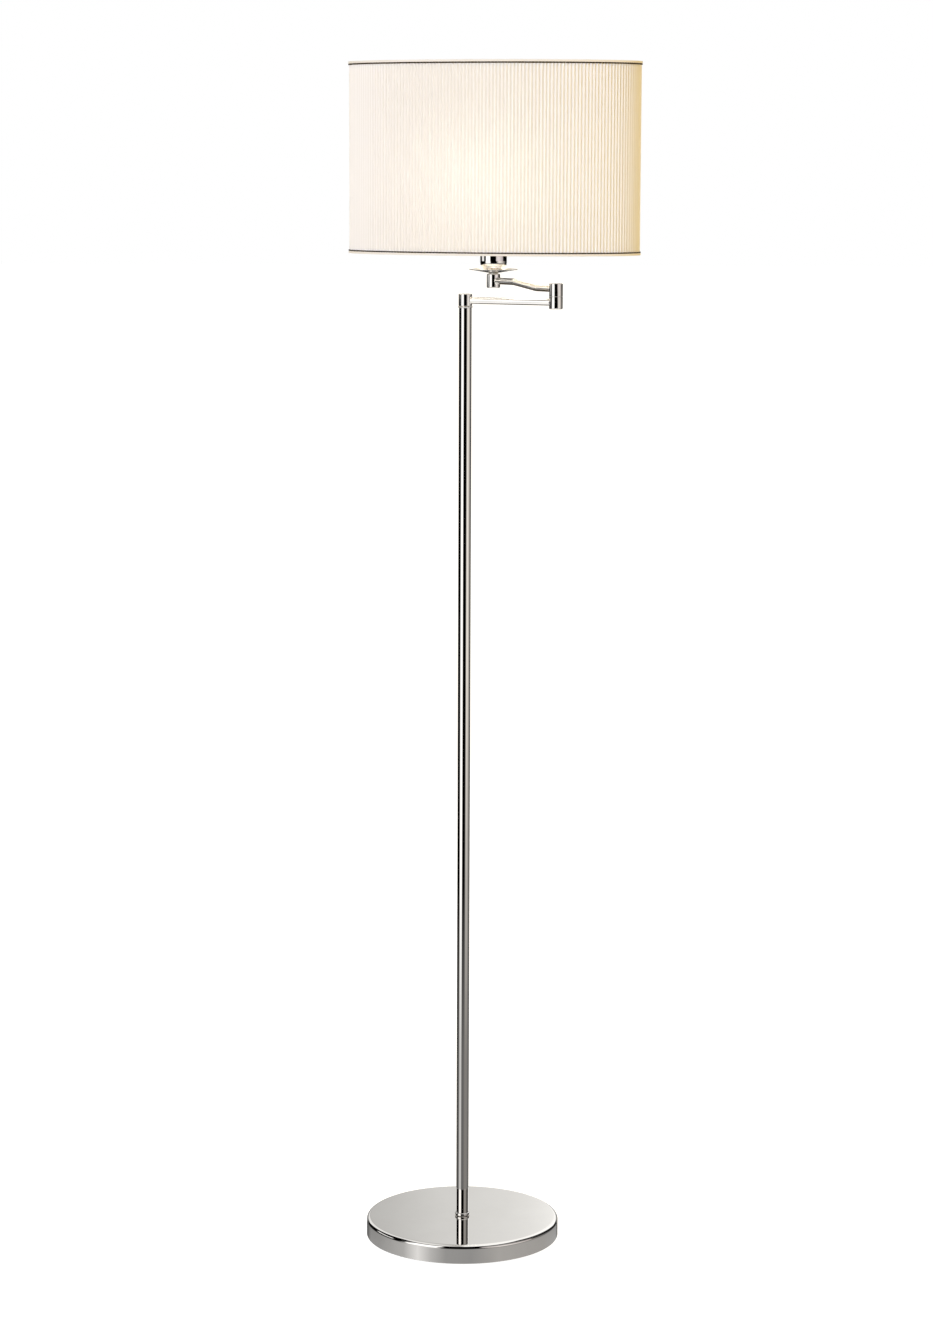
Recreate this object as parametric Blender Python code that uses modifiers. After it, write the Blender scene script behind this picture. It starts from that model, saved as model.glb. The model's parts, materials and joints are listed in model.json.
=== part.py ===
"""Adjustable arm floor lamp with an oval pleated shade.

Metres, +Z up. The origin is the centre of the base's underside, on the floor, and the pole stands on it.
A lower arm turns on the pole, an upper arm turns on its far end, and the head with the lampholder and
the shade turns on the upper arm. Each moving body hangs from an empty on its joint's axis.
"""

import math

import bmesh
import bpy
from mathutils import Matrix, Vector

GAP = 0.0003  # kept between pieces that touch

# Base
BASE_RADIUS = 0.125
BASE_HEIGHT = 0.0255
BASE_WALL = 0.0012
BASE_EDGE = 0.003  # rounding of the cover's top edge
COVER_LIFT = 0.001  # how far the pad stands proud under the cover
PAD_RADIUS = 0.118
PAD_THICKNESS = 0.003
WEIGHT_RADIUS = 0.120
RECESS_RADIUS = 0.020
RECESS_TOP = 0.018
CHANNEL_WIDTH = 0.008
CHANNEL_TOP = 0.012
NIPPLE_RADIUS = 0.005
NIPPLE_BORE = 0.0035
NIPPLE_TOP = 0.044
BASE_WASHER_RADIUS = 0.015
BASE_WASHER_THICKNESS = 0.002
BASE_NUT_FLATS = 0.017
BASE_NUT_THICKNESS = 0.004
COLLAR_RADIUS = 0.00975
COLLAR_HEIGHT = 0.004
FINE_EDGE = 0.0006  # rounding of small turned pieces
WEIGHT_EDGE = 0.001

# Cable bush at the back of the base
BUSH_HEIGHT = 0.009
BUSH_FLANGE = 0.00525
BUSH_FLANGE_THICKNESS = 0.0018
BUSH_NECK = 0.0037
BUSH_BORE = 0.0026
BUSH_CUT = 0.02  # length of the hole's cutter, half of it inside the cover's wall

# Pole
POLE_RADIUS = 0.008
POLE_WALL = 0.001
POLE_TOP = 1.2100
INSERT_RADIUS = POLE_RADIUS - POLE_WALL - GAP
INSERT_LENGTH = 0.022
POLE_WASHER_RADIUS = 0.0093
POLE_WASHER_THICKNESS = 0.0018
POLE_WASHER_EDGE = 0.0007

# Arms: both are as long, axis to axis, and their angles are those of the pose at rest
ARM_LENGTH = 0.124
LOWER_ARM_AZIMUTH = math.radians(-24.8)
ELBOW_ANGLE = math.radians(153.2)
SHADE_ANGLE = math.radians(-141.1)
ARM_RADIUS = 0.0042
ARM_WALL = 0.0012
LOWER_ARM_HEIGHT = 1.2194
UPPER_ARM_HEIGHT = 1.2361
HEAD_ARM_HEIGHT = 1.2423
BEND_START = 0.31  # share of the upper arm's length, from the elbow
BEND_END = 0.67
ELBOW_SIDE_BEND = 0.045
HEAD_SIDE_BEND = 0.022

# Knuckles: barrels with a plate at one end, a chamber for the lead, and a pressed-in cap
KNUCKLE_RADIUS = 0.0085
CHAMBER_RADIUS = 0.0069
PLATE = 0.0023
CAP_THICKNESS = 0.0015
SOFT_EDGE = 0.0013
CRISP_EDGE = 0.0005
ARM_END = 0.0071  # an arm's tube ends this far from the knuckle's axis
POLE_KNUCKLE_BOTTOM = POLE_TOP + POLE_WASHER_THICKNESS + 2 * GAP
POLE_KNUCKLE_TOP = 1.2274
ELBOW_BOTTOM = 1.2110
ELBOW_SPLIT = 1.2260
ELBOW_TOP = 1.2427
ELBOW_WASHER_THICKNESS = 0.0006
UPPER_KNUCKLE_BOTTOM = ELBOW_SPLIT + ELBOW_WASHER_THICKNESS + 2 * GAP
HEAD_KNUCKLE_BOTTOM = 1.2334
HEAD_KNUCKLE_TOP = 1.2512
ARM_HOLE_START = 0.005  # the side hole is cut from here outwards

# Hollow pivots
SHANK_RADIUS = 0.004
PIVOT_BORE = 0.0025
PIVOT_CLEARANCE = SHANK_RADIUS + GAP
FLANGE_RADIUS = 0.0062
FLANGE_THICKNESS = 0.0012
NUT_FLATS = 0.011
NUT_THICKNESS = 0.0025
THREAD_SHOWN = 0.0006  # how far a thread stands out of its nut
PIVOT_DEPTH = 0.0099

# Leads
POLE_CABLE_RADIUS = 0.002
LEAD_RADIUS = 0.0015
LEAD_BEND = 0.0032
POLE_CABLE_START = 0.1205  # the cable's run from the bush to the pole, by distance from the axis
POLE_CABLE_DIP = 0.105
POLE_CABLE_LOW = 0.085
POLE_CABLE_HEIGHT = 0.0058  # under the nut
POLE_CABLE_BEND = 0.05
POLE_CABLE_TURN = 0.0045
LEAD_BELOW_PIVOT = 0.005
ELBOW_LEAD_AIR = 0.0005  # over the elbow's bottom cap
ELBOW_LEAD_START = 0.0035  # the lead's dip under the elbow's nut
ELBOW_LEAD_RISE = 0.002
ELBOW_LEAD_BEND = 0.0018

# Saucer and cup
HEAD_WASHER_RADIUS = 0.006
HEAD_WASHER_THICKNESS = 0.0008
SAUCER_RADIUS = 0.031
SAUCER_FLAT = 0.009
SAUCER_RISE = 0.0045
SHEET_METAL = 0.0008
CUP_RADIUS = 0.017
CUP_TOP = 1.311
CUP_ROUND = 0.0103
SAUCER_BEND = 0.02
HEAD_NIPPLE_TOP = 1.273

# Lampholder
HOLDER_RADIUS = 0.0158
HOLDER_BORE = 0.01435
BOSS_RADIUS = 0.007
BOSS_BOTTOM = 1.266
HOLDER_FLOOR = 1.280
HOLDER_FLOOR_THICKNESS = 0.010
HOLDER_FLANGE_RADIUS = 0.019
HOLDER_FLANGE_THICKNESS = 0.002
COLLAR_THREAD_RADIUS = 0.0166
COLLAR_TOP = 1.328
SHELL_RADIUS = 0.01405
SHELL_WALL = 0.0005
SHELL_BOTTOM = 1.296
SHELL_TOP = 1.325
CONTACT_RADIUS = 0.005
CONTACT_RIM = 0.0008
CONTACT_HEIGHT = 0.0037
CONTACT_EDGE = 0.001

# Bulb
BULB_RADIUS = 0.030
BULB_LENGTH = 0.105
GLASS_WALL = 0.0007
CAP_RADIUS = 0.0132
CAP_THREAD_DEPTH = 0.0007
CAP_THREAD_PITCH = 0.00363
CAP_TURNS = 5
CAP_TIP_RADIUS = 0.0035
CAP_INSULATOR_RADIUS = 0.009
CAP_TIP_HEIGHT = 0.001
CAP_INSULATOR_TOP = 0.002
CAP_HEIGHT = 0.0256
NECK_RADIUS = 0.013
NECK_START = math.radians(120)  # from the bulb's top, where the ball runs into the neck
NECK_BEND = 0.035

# Shade: an oval tube, its sizes those of the outside of the tape
SHADE_HALF_LENGTH = 0.1885
SHADE_HALF_WIDTH = 0.0992
SHADE_BOTTOM = 1.2775
SHADE_TOP = 1.5171
SHADE_POINTS = 40
TAPE = 0.0006
TAPE_DEPTH = 0.005
TAPE_HEIGHT = 0.0019
FABRIC_OUT = 0.0009
FABRIC_IN = 0.0031
LINER_OUT = 0.0034
LINER_IN = 0.0041
PIPING_RADIUS = 0.00075
WIRE_RADIUS = 0.0017
WIRE_INSET = 0.007
WIRE_FROM_EDGE = 0.002
FITTER_OUTER = 0.021
FITTER_INNER = COLLAR_THREAD_RADIUS + GAP
FITTER_THICKNESS = 0.0023
SPOKE_RADIUS = 0.0013
SPOKE_START = 0.0198
SPOKE_LEVEL_END = 0.030
SPOKE_BEND = 0.008
RING_NUT_RADIUS = 0.0192
RING_NUT_HEIGHT = 0.007

# Fineness of the round shapes
BASE_SIDES = 48
ROUND_SIDES = 24
INNER_SIDES = 16
ARC_STEPS = 4
SMALL_ARC = 0.002  # an arc under this radius is a single chamfer
BALL_STEPS = 5
CURVE_SMOOTHNESS = 6  # a bevelled curve has twice this and 4 sides
WIRE_SMOOTHNESS = 1
MERGE_DISTANCE = 0.00001
SHARP_ANGLE = math.radians(35)


for old in list(bpy.data.objects):
    bpy.data.objects.remove(old)

parts = bpy.data.collections.new("adjustable_arm_floor_lamp")
cutters = bpy.data.collections.new("cutters")
bpy.context.scene.collection.children.link(parts)
bpy.context.scene.collection.children.link(cutters)


def material(name, colour, roughness, metallic):
    """A plain material of one colour."""
    made = bpy.data.materials.new(name)
    made.use_nodes = True
    shader = made.node_tree.nodes["Principled BSDF"]
    shader.inputs["Base Color"].default_value = (*colour, 1.0)
    shader.inputs["Roughness"].default_value = roughness
    shader.inputs["Metallic"].default_value = metallic
    return made


NICKEL = material("polished_nickel", (0.78, 0.76, 0.73), 0.06, 1.0)
IRON = material("cast_iron", (0.10, 0.10, 0.10), 0.7, 0.6)
STEEL = material("zinc_plated_steel", (0.60, 0.60, 0.58), 0.35, 1.0)
BRASS = material("brass", (0.72, 0.56, 0.30), 0.3, 1.0)
FOAM = material("black_foam", (0.03, 0.03, 0.03), 0.95, 0.0)
RUBBER = material("black_rubber", (0.02, 0.02, 0.02), 0.6, 0.0)
NYLON = material("white_nylon", (0.80, 0.80, 0.76), 0.5, 0.0)
PLASTIC = material("white_holder_plastic", (0.85, 0.84, 0.80), 0.4, 0.0)
SLEEVE = material("clear_cable_sleeve", (0.70, 0.68, 0.62), 0.4, 0.0)
WIRE = material("white_wire", (0.86, 0.85, 0.82), 0.4, 0.0)
FABRIC = material("pleated_cream_fabric", (0.90, 0.83, 0.72), 0.9, 0.0)
LINER = material("shade_liner", (0.93, 0.90, 0.84), 0.6, 0.0)
TAPE_CLOTH = material("cream_tape", (0.90, 0.84, 0.74), 0.85, 0.0)
PIPING = material("dark_piping", (0.05, 0.035, 0.02), 0.7, 0.0)
GLASS = material("frosted_glass", (0.96, 0.96, 0.94), 0.35, 0.0)


def joint(name, parent, location, angle):
    """An empty on a joint's upright axis; what it carries has its heights from the floor."""
    empty = bpy.data.objects.new(name, None)
    bpy.context.scene.collection.objects.link(empty)
    empty.parent = parent
    empty.location = location
    empty.rotation_euler.z = angle
    return empty


STAND = joint("stand", None, (0, 0, 0), 0)
LOWER_ARM = joint("pole_swivel", STAND, (0, 0, 0), LOWER_ARM_AZIMUTH)
UPPER_ARM = joint("elbow_swivel", LOWER_ARM, (ARM_LENGTH, 0, 0), ELBOW_ANGLE)
HEAD = joint("head_swivel", UPPER_ARM, (ARM_LENGTH, 0, 0), SHADE_ANGLE)


def corner_arc(before, corner, after, radius):
    """Points along the arc of that radius that rounds a corner."""
    to_before = (before - corner).normalized()
    to_after = (after - corner).normalized()
    half = to_before.angle(to_after) / 2
    centre = corner + (to_before + to_after).normalized() * radius / math.sin(half)
    start = corner + to_before * radius / math.tan(half) - centre
    end = corner + to_after * radius / math.tan(half) - centre
    turn = start.angle(end)
    steps = ARC_STEPS if radius > SMALL_ARC else 1
    points = []
    for i in range(steps + 1):
        share = i / steps
        mixed = start * math.sin((1 - share) * turn) + end * math.sin(share * turn)
        points.append(centre + mixed / math.sin(turn))
    return points


def rounded(outline, closed=False):
    """The outline with its (x, y, radius) corners rounded; a corner without a radius stays sharp."""
    corners = [Vector(c[:2]) for c in outline]
    radii = [c[2] if len(c) > 2 else 0 for c in outline]
    last = len(corners) - 1
    points = []
    for i, (corner, radius) in enumerate(zip(corners, radii)):
        if radius and (closed or 0 < i < last):
            points += corner_arc(corners[i - 1], corner, corners[(i + 1) % len(corners)], radius)
        else:
            points.append(corner)
    return points


def placed(thing, shade, body, location=(0, 0, 0)):
    """Gives an object its material and its place in the lamp."""
    thing.data.materials.append(shade)
    thing.parent = body
    thing.location = location
    parts.objects.link(thing)
    return thing


def settled(thing):
    """Turns an object's modifiers or curve into its own mesh, with welded caps, shaded smooth."""
    bpy.context.view_layer.update()
    mesh = bpy.data.meshes.new_from_object(thing.evaluated_get(bpy.context.evaluated_depsgraph_get()))
    shape = bmesh.new()
    shape.from_mesh(mesh)
    bmesh.ops.remove_doubles(shape, verts=shape.verts, dist=MERGE_DISTANCE)
    shape.to_mesh(mesh)
    shape.free()
    mesh.shade_smooth()
    mesh.set_sharp_from_angle(angle=SHARP_ANGLE)
    solid = bpy.data.objects.new(thing.name, mesh)
    for collection in thing.users_collection:
        collection.objects.link(solid)
    solid.parent = thing.parent
    solid.location = thing.location
    solid.rotation_euler = thing.rotation_euler
    name = thing.name
    bpy.data.objects.remove(thing)
    solid.name = name
    return solid


def turned(name, outline, shade, body, ring=False, sides=ROUND_SIDES):
    """A turned solid: its outline runs down the outer side, from (radius, height) to (radius, height).

    A ring's outline is a closed loop that comes back up the inner side.
    """
    points = rounded(outline, ring)
    edges = [(i, i + 1) for i in range(len(points) - 1)]
    if ring:
        edges.append((len(points) - 1, 0))
    mesh = bpy.data.meshes.new(name)
    mesh.from_pydata([(x, 0, z) for x, z in points], edges, [])
    thing = placed(bpy.data.objects.new(name, mesh), shade, body)
    screw = thing.modifiers.new("Turn", "SCREW")
    screw.steps = sides
    screw.render_steps = sides
    screw.use_merge_vertices = True
    screw.merge_threshold = MERGE_DISTANCE
    return settled(thing)


def sleeve(name, outer, inner, bottom, top, shade, body, edge=0, sides=ROUND_SIDES):
    """A plain turned ring or tube, with its two outer edges rounded."""
    outline = [(outer, top, edge), (outer, bottom, edge), (inner, bottom), (inner, top)]
    return turned(name, outline, shade, body, ring=True, sides=sides)


def disc(name, radius, bottom, top, shade, body, edge=0, sides=ROUND_SIDES):
    """A plain turned disc."""
    outline = [(0, top), (radius, top, edge), (radius, bottom), (0, bottom)]
    return turned(name, outline, shade, body, sides=sides)


def hex_nut(name, flats, bore, bottom, thickness, shade, body):
    """A six-sided nut: a flat outline with a round hole."""
    curve = bpy.data.curves.new(name, "CURVE")
    curve.dimensions = "2D"
    curve.fill_mode = "BOTH"
    curve.extrude = thickness / 2
    for radius, sides in ((flats / math.sqrt(3), 6), (bore, INNER_SIDES)):
        spline = curve.splines.new("POLY")
        spline.points.add(sides - 1)
        for i, point in enumerate(spline.points):
            angle = 2 * math.pi * i / sides
            point.co = (radius * math.cos(angle), radius * math.sin(angle), 0, 1)
        spline.use_cyclic_u = True
    nut = bpy.data.objects.new(name, curve)
    return settled(placed(nut, shade, body, (0, 0, bottom + thickness / 2)))


def path_curve(name, points, radius, smoothness, closed=False, capped=True):
    """A bevelled curve through points."""
    curve = bpy.data.curves.new(name, "CURVE")
    curve.dimensions = "3D"
    curve.bevel_depth = radius
    curve.bevel_resolution = smoothness
    curve.use_fill_caps = capped
    spline = curve.splines.new("POLY")
    spline.points.add(len(points) - 1)
    for point, place in zip(spline.points, points):
        point.co = (*place, 1)
    spline.use_cyclic_u = closed
    return bpy.data.objects.new(name, curve)


def side_path(outline):
    """Points in an arm's upright plane, from (distance along the arm, height, radius) corners."""
    return [(along, 0, height) for along, height in rounded(outline)]


def cut(thing, cutter):
    """Subtracts a cutter from a solid."""
    cutter.hide_render = True
    cutter.display_type = "WIRE"
    boolean = thing.modifiers.new("Cut", "BOOLEAN")
    boolean.operation = "DIFFERENCE"
    boolean.object = cutter


def rod_cutter(name, radius, length, body, location, rotation):
    """A cylinder that cuts along +X of its own rotation, from its location outwards."""
    mesh = bpy.data.meshes.new(name)
    shape = bmesh.new()
    bmesh.ops.create_cone(
        shape, cap_ends=True, segments=ROUND_SIDES, radius1=radius, radius2=radius, depth=length
    )
    bmesh.ops.rotate(shape, verts=shape.verts, matrix=Matrix.Rotation(math.pi / 2, 3, "Y"))
    bmesh.ops.translate(shape, verts=shape.verts, vec=(length / 2, 0, 0))
    shape.to_mesh(mesh)
    shape.free()
    cutter = bpy.data.objects.new(name, mesh)
    cutter.parent = body
    cutter.location = location
    cutter.rotation_euler.z = rotation
    cutters.objects.link(cutter)
    return cutter


def base():
    """The cover, its ballast and pad, and what clamps them to the pole's foot."""
    cover_top = BASE_HEIGHT - BASE_WALL
    bore = NIPPLE_RADIUS + GAP
    inner = BASE_RADIUS - BASE_WALL
    cover = turned(
        "base_cover",
        [
            (BASE_RADIUS, BASE_HEIGHT, BASE_EDGE),
            (BASE_RADIUS, COVER_LIFT),
            (inner, COVER_LIFT),
            (inner, cover_top, BASE_EDGE - BASE_WALL),
            (bore, cover_top),
            (bore, BASE_HEIGHT),
        ],
        NICKEL,
        STAND,
        ring=True,
        sides=BASE_SIDES,
    )
    bush_hole = rod_cutter(
        "bush_hole", BUSH_NECK + GAP, BUSH_CUT, STAND, (0, inner - BUSH_CUT / 2, BUSH_HEIGHT), math.pi / 2
    )
    cut(cover, bush_hole)

    weight_bottom = PAD_THICKNESS + GAP
    weight = turned(
        "base_weight",
        [
            (WEIGHT_RADIUS, cover_top - GAP, WEIGHT_EDGE),
            (WEIGHT_RADIUS, weight_bottom),
            (RECESS_RADIUS, weight_bottom),
            (RECESS_RADIUS, RECESS_TOP),
            (bore, RECESS_TOP),
            (bore, cover_top - GAP),
        ],
        IRON,
        STAND,
        ring=True,
        sides=BASE_SIDES,
    )
    channel = bpy.data.meshes.new("cable_channel")
    shape = bmesh.new()
    bmesh.ops.create_cube(shape, size=1)
    bmesh.ops.scale(shape, verts=shape.verts, vec=(CHANNEL_WIDTH, WEIGHT_RADIUS, CHANNEL_TOP))
    bmesh.ops.translate(
        shape, verts=shape.verts, vec=(0, WEIGHT_RADIUS / 2 + RECESS_RADIUS / 2, CHANNEL_TOP / 2)
    )
    shape.to_mesh(channel)
    shape.free()
    channel_cutter = bpy.data.objects.new("cable_channel", channel)
    cutters.objects.link(channel_cutter)
    cut(weight, channel_cutter)

    disc("base_pad", PAD_RADIUS, 0, PAD_THICKNESS, FOAM, STAND, sides=BASE_SIDES)
    washer_top = RECESS_TOP - GAP
    washer_bottom = washer_top - BASE_WASHER_THICKNESS
    sleeve("base_washer", BASE_WASHER_RADIUS, bore, washer_bottom, washer_top, STEEL, STAND)
    nut_bottom = washer_bottom - GAP - BASE_NUT_THICKNESS
    hex_nut("base_nut", BASE_NUT_FLATS, bore, nut_bottom, BASE_NUT_THICKNESS, STEEL, STAND)
    sleeve(
        "foot_nipple", NIPPLE_RADIUS, NIPPLE_BORE, nut_bottom - GAP, NIPPLE_TOP, STEEL, STAND,
        sides=INNER_SIDES,
    )


def cable_bush():
    """The rubber bush in the back of the cover; its bore is open for the mains cord."""
    wall = BASE_WALL + 3 * GAP
    outer_face = BASE_RADIUS + GAP + BUSH_FLANGE_THICKNESS
    bush = turned(
        "cable_bush",
        [
            (BUSH_FLANGE, 0, FINE_EDGE),
            (BUSH_FLANGE, -BUSH_FLANGE_THICKNESS),
            (BUSH_NECK, -BUSH_FLANGE_THICKNESS),
            (BUSH_NECK, -BUSH_FLANGE_THICKNESS - wall),
            (BUSH_FLANGE, -BUSH_FLANGE_THICKNESS - wall),
            (BUSH_NECK, -2 * BUSH_FLANGE_THICKNESS - wall),
            (BUSH_BORE, -2 * BUSH_FLANGE_THICKNESS - wall),
            (BUSH_BORE, 0),
        ],
        RUBBER,
        STAND,
        ring=True,
        sides=INNER_SIDES,
    )
    bush.rotation_euler.x = -math.pi / 2
    bush.location = (0, outer_face, BUSH_HEIGHT)


def pole():
    """The pole with its threaded ends, foot collar, washer and the pivot of the lower arm."""
    foot = BASE_HEIGHT + GAP
    sleeve("pole_tube", POLE_RADIUS, POLE_RADIUS - POLE_WALL, foot, POLE_TOP, NICKEL, STAND)
    sleeve(
        "foot_collar", COLLAR_RADIUS, POLE_RADIUS + GAP, foot, foot + COLLAR_HEIGHT, NICKEL, STAND,
        edge=FINE_EDGE,
    )
    sleeve(
        "pole_foot_insert", INSERT_RADIUS, NIPPLE_RADIUS + GAP, foot, foot + INSERT_LENGTH, STEEL, STAND,
        sides=INNER_SIDES,
    )
    sleeve(
        "pole_top_insert", INSERT_RADIUS, PIVOT_CLEARANCE, POLE_TOP - INSERT_LENGTH, POLE_TOP, STEEL,
        STAND, sides=INNER_SIDES,
    )
    washer_bottom = POLE_TOP + GAP
    washer_top = washer_bottom + POLE_WASHER_THICKNESS
    sleeve(
        "pole_washer", POLE_WASHER_RADIUS, PIVOT_CLEARANCE, washer_bottom, washer_top, NICKEL, STAND,
        edge=POLE_WASHER_EDGE,
    )
    pivot_bolt("pole_pivot", POLE_KNUCKLE_BOTTOM, POLE_TOP - PIVOT_DEPTH, STAND)


def pivot_bolt(name, knuckle_bottom, bolt_bottom, body):
    """A hollow bolt whose flange bears on the plate of the knuckle that turns on it."""
    seat = knuckle_bottom + PLATE + GAP
    outline = [
        (FLANGE_RADIUS, seat + FLANGE_THICKNESS),
        (FLANGE_RADIUS, seat),
        (SHANK_RADIUS, seat),
        (SHANK_RADIUS, bolt_bottom),
        (PIVOT_BORE, bolt_bottom),
        (PIVOT_BORE, seat + FLANGE_THICKNESS),
    ]
    return turned(name, outline, STEEL, body, ring=True, sides=INNER_SIDES)


def knuckle(name, bottom, top, plate_on_top, arm_height, body, top_edge, bottom_edge, far=False):
    """A barrel with its chamber, and a hole in its side for an arm's tube.

    It is round the body's own axis, or round the one at the arm's far end.
    """
    if plate_on_top:
        inner = [
            (CHAMBER_RADIUS, bottom),
            (CHAMBER_RADIUS, top - PLATE),
            (PIVOT_CLEARANCE, top - PLATE),
            (PIVOT_CLEARANCE, top),
        ]
    else:
        inner = [
            (PIVOT_CLEARANCE, bottom),
            (PIVOT_CLEARANCE, bottom + PLATE),
            (CHAMBER_RADIUS, bottom + PLATE),
            (CHAMBER_RADIUS, top),
        ]
    outer = [(KNUCKLE_RADIUS, top, top_edge), (KNUCKLE_RADIUS, bottom, bottom_edge)]
    barrel = turned(name, outer + inner, NICKEL, body, ring=True)
    start = ARM_LENGTH - ARM_HOLE_START if far else ARM_HOLE_START
    hole = rod_cutter(
        name + "_arm_hole", ARM_RADIUS + GAP, KNUCKLE_RADIUS, body, (start, 0, arm_height),
        math.pi if far else 0,
    )
    cut(barrel, hole)
    if far:
        at_far_end([barrel])


def at_far_end(things):
    """Moves pieces of an arm from its own axis to the axis at its other end."""
    for thing in things:
        thing.location.x += ARM_LENGTH


def knuckle_cap(name, bottom, top, body):
    """The disc pressed into a knuckle's open end."""
    return disc(name, CHAMBER_RADIUS - GAP, bottom, top, NICKEL, body)


def lower_arm():
    """Knuckle on the pole, straight tube and the lower half of the elbow."""
    knuckle(
        "pole_knuckle", POLE_KNUCKLE_BOTTOM, POLE_KNUCKLE_TOP, False, LOWER_ARM_HEIGHT, LOWER_ARM,
        CRISP_EDGE, CRISP_EDGE,
    )
    knuckle_cap("pole_knuckle_cap", POLE_KNUCKLE_TOP - CAP_THICKNESS, POLE_KNUCKLE_TOP, LOWER_ARM)
    arm_tube(
        "lower_arm_tube", [(ARM_END, LOWER_ARM_HEIGHT), (ARM_LENGTH - ARM_END, LOWER_ARM_HEIGHT)],
        LOWER_ARM,
    )

    knuckle(
        "elbow_lower_knuckle", ELBOW_BOTTOM, ELBOW_SPLIT, True, LOWER_ARM_HEIGHT, LOWER_ARM,
        CRISP_EDGE, SOFT_EDGE, far=True,
    )
    nut_bottom = ELBOW_SPLIT - PLATE - GAP - NUT_THICKNESS
    cap = knuckle_cap("elbow_bottom_cap", ELBOW_BOTTOM, ELBOW_BOTTOM + CAP_THICKNESS, LOWER_ARM)
    nut = hex_nut(
        "elbow_nut", NUT_FLATS, PIVOT_CLEARANCE, nut_bottom, NUT_THICKNESS, STEEL, LOWER_ARM
    )
    washer = sleeve(
        "elbow_washer", KNUCKLE_RADIUS - CRISP_EDGE, PIVOT_CLEARANCE, ELBOW_SPLIT + GAP,
        ELBOW_SPLIT + GAP + ELBOW_WASHER_THICKNESS, NYLON, LOWER_ARM,
    )
    pivot = pivot_bolt("elbow_pivot", UPPER_KNUCKLE_BOTTOM, nut_bottom - THREAD_SHOWN, LOWER_ARM)
    at_far_end([cap, nut, washer, pivot])


def arm_tube(name, outline, body):
    """A hollow tube along an arm."""
    route = path_curve(name, side_path(outline), ARM_RADIUS, CURVE_SMOOTHNESS, capped=False)
    tube = settled(placed(route, NICKEL, body))
    wall = tube.modifiers.new("Wall", "SOLIDIFY")
    wall.thickness = ARM_WALL
    wall.offset = -1
    return tube


def upper_arm_route(start, end):
    """The corners of the upper arm's S-bend between two distances from the elbow."""
    return [
        (start, UPPER_ARM_HEIGHT),
        (ARM_LENGTH * BEND_START, UPPER_ARM_HEIGHT, ELBOW_SIDE_BEND),
        (ARM_LENGTH * BEND_END, HEAD_ARM_HEIGHT, HEAD_SIDE_BEND),
        (end, HEAD_ARM_HEIGHT),
    ]


def upper_arm():
    """Upper half of the elbow, the bent tube and the knuckle under the head."""
    knuckle(
        "elbow_upper_knuckle", UPPER_KNUCKLE_BOTTOM, ELBOW_TOP, False, UPPER_ARM_HEIGHT, UPPER_ARM,
        CRISP_EDGE, CRISP_EDGE,
    )
    knuckle_cap("elbow_top_cap", ELBOW_TOP - CAP_THICKNESS, ELBOW_TOP, UPPER_ARM)
    arm_tube("upper_arm_tube", upper_arm_route(ARM_END, ARM_LENGTH - ARM_END), UPPER_ARM)
    knuckle(
        "head_knuckle", HEAD_KNUCKLE_BOTTOM, HEAD_KNUCKLE_TOP, True, HEAD_ARM_HEIGHT, UPPER_ARM,
        SOFT_EDGE, SOFT_EDGE, far=True,
    )
    cap = knuckle_cap(
        "head_bottom_cap", HEAD_KNUCKLE_BOTTOM, HEAD_KNUCKLE_BOTTOM + CAP_THICKNESS, UPPER_ARM
    )
    washer = sleeve(
        "head_washer", HEAD_WASHER_RADIUS, PIVOT_CLEARANCE, HEAD_KNUCKLE_TOP + GAP,
        HEAD_KNUCKLE_TOP + GAP + HEAD_WASHER_THICKNESS, NYLON, UPPER_ARM,
    )
    at_far_end([cap, washer])


def cable(name, points, radius, body):
    """A lead inside the lamp."""
    placed(path_curve(name, points, radius, WIRE_SMOOTHNESS), SLEEVE, body)


def leads():
    """The leads, cut where a body turns on the next, on the joint's axis."""
    foot_route = [
        (-POLE_CABLE_START, BUSH_HEIGHT),
        (-POLE_CABLE_DIP, BUSH_HEIGHT, POLE_CABLE_BEND),
        (-POLE_CABLE_LOW, POLE_CABLE_HEIGHT, POLE_CABLE_BEND),
        (0, POLE_CABLE_HEIGHT, POLE_CABLE_TURN),
    ]
    pole_lead_top = POLE_TOP - PIVOT_DEPTH - LEAD_BELOW_PIVOT
    route = rounded(foot_route + [(0, pole_lead_top)])
    cable("pole_cable", [(0, -along, height) for along, height in route], POLE_CABLE_RADIUS, STAND)

    elbow_plane = ELBOW_SPLIT + GAP + ELBOW_WASHER_THICKNESS / 2
    dip = ELBOW_BOTTOM + CAP_THICKNESS + GAP + LEAD_RADIUS + ELBOW_LEAD_AIR
    lower = [
        (0, pole_lead_top + GAP),
        (0, LOWER_ARM_HEIGHT, LEAD_BEND),
        (ARM_LENGTH - ARM_END, LOWER_ARM_HEIGHT, LEAD_BEND),
        (ARM_LENGTH - ELBOW_LEAD_START, dip, ELBOW_LEAD_BEND),
        (ARM_LENGTH, dip + ELBOW_LEAD_RISE, ELBOW_LEAD_BEND),
        (ARM_LENGTH, elbow_plane - GAP / 2),
    ]
    cable("lower_arm_cable", side_path(lower), LEAD_RADIUS, LOWER_ARM)

    head_plane = HEAD_KNUCKLE_TOP + GAP
    upper = upper_arm_route(0, ARM_LENGTH)
    upper[0] += (LEAD_BEND,)
    upper[-1] += (LEAD_BEND,)
    upper = [(0, elbow_plane + GAP / 2)] + upper + [(ARM_LENGTH, head_plane)]
    cable("upper_arm_cable", side_path(upper), LEAD_RADIUS, UPPER_ARM)

    lead_top = HOLDER_FLOOR + HOLDER_FLOOR_THICKNESS - GAP
    cable("head_cable", [(0, 0, head_plane + GAP), (0, 0, lead_top)], LEAD_RADIUS, HEAD)


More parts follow.
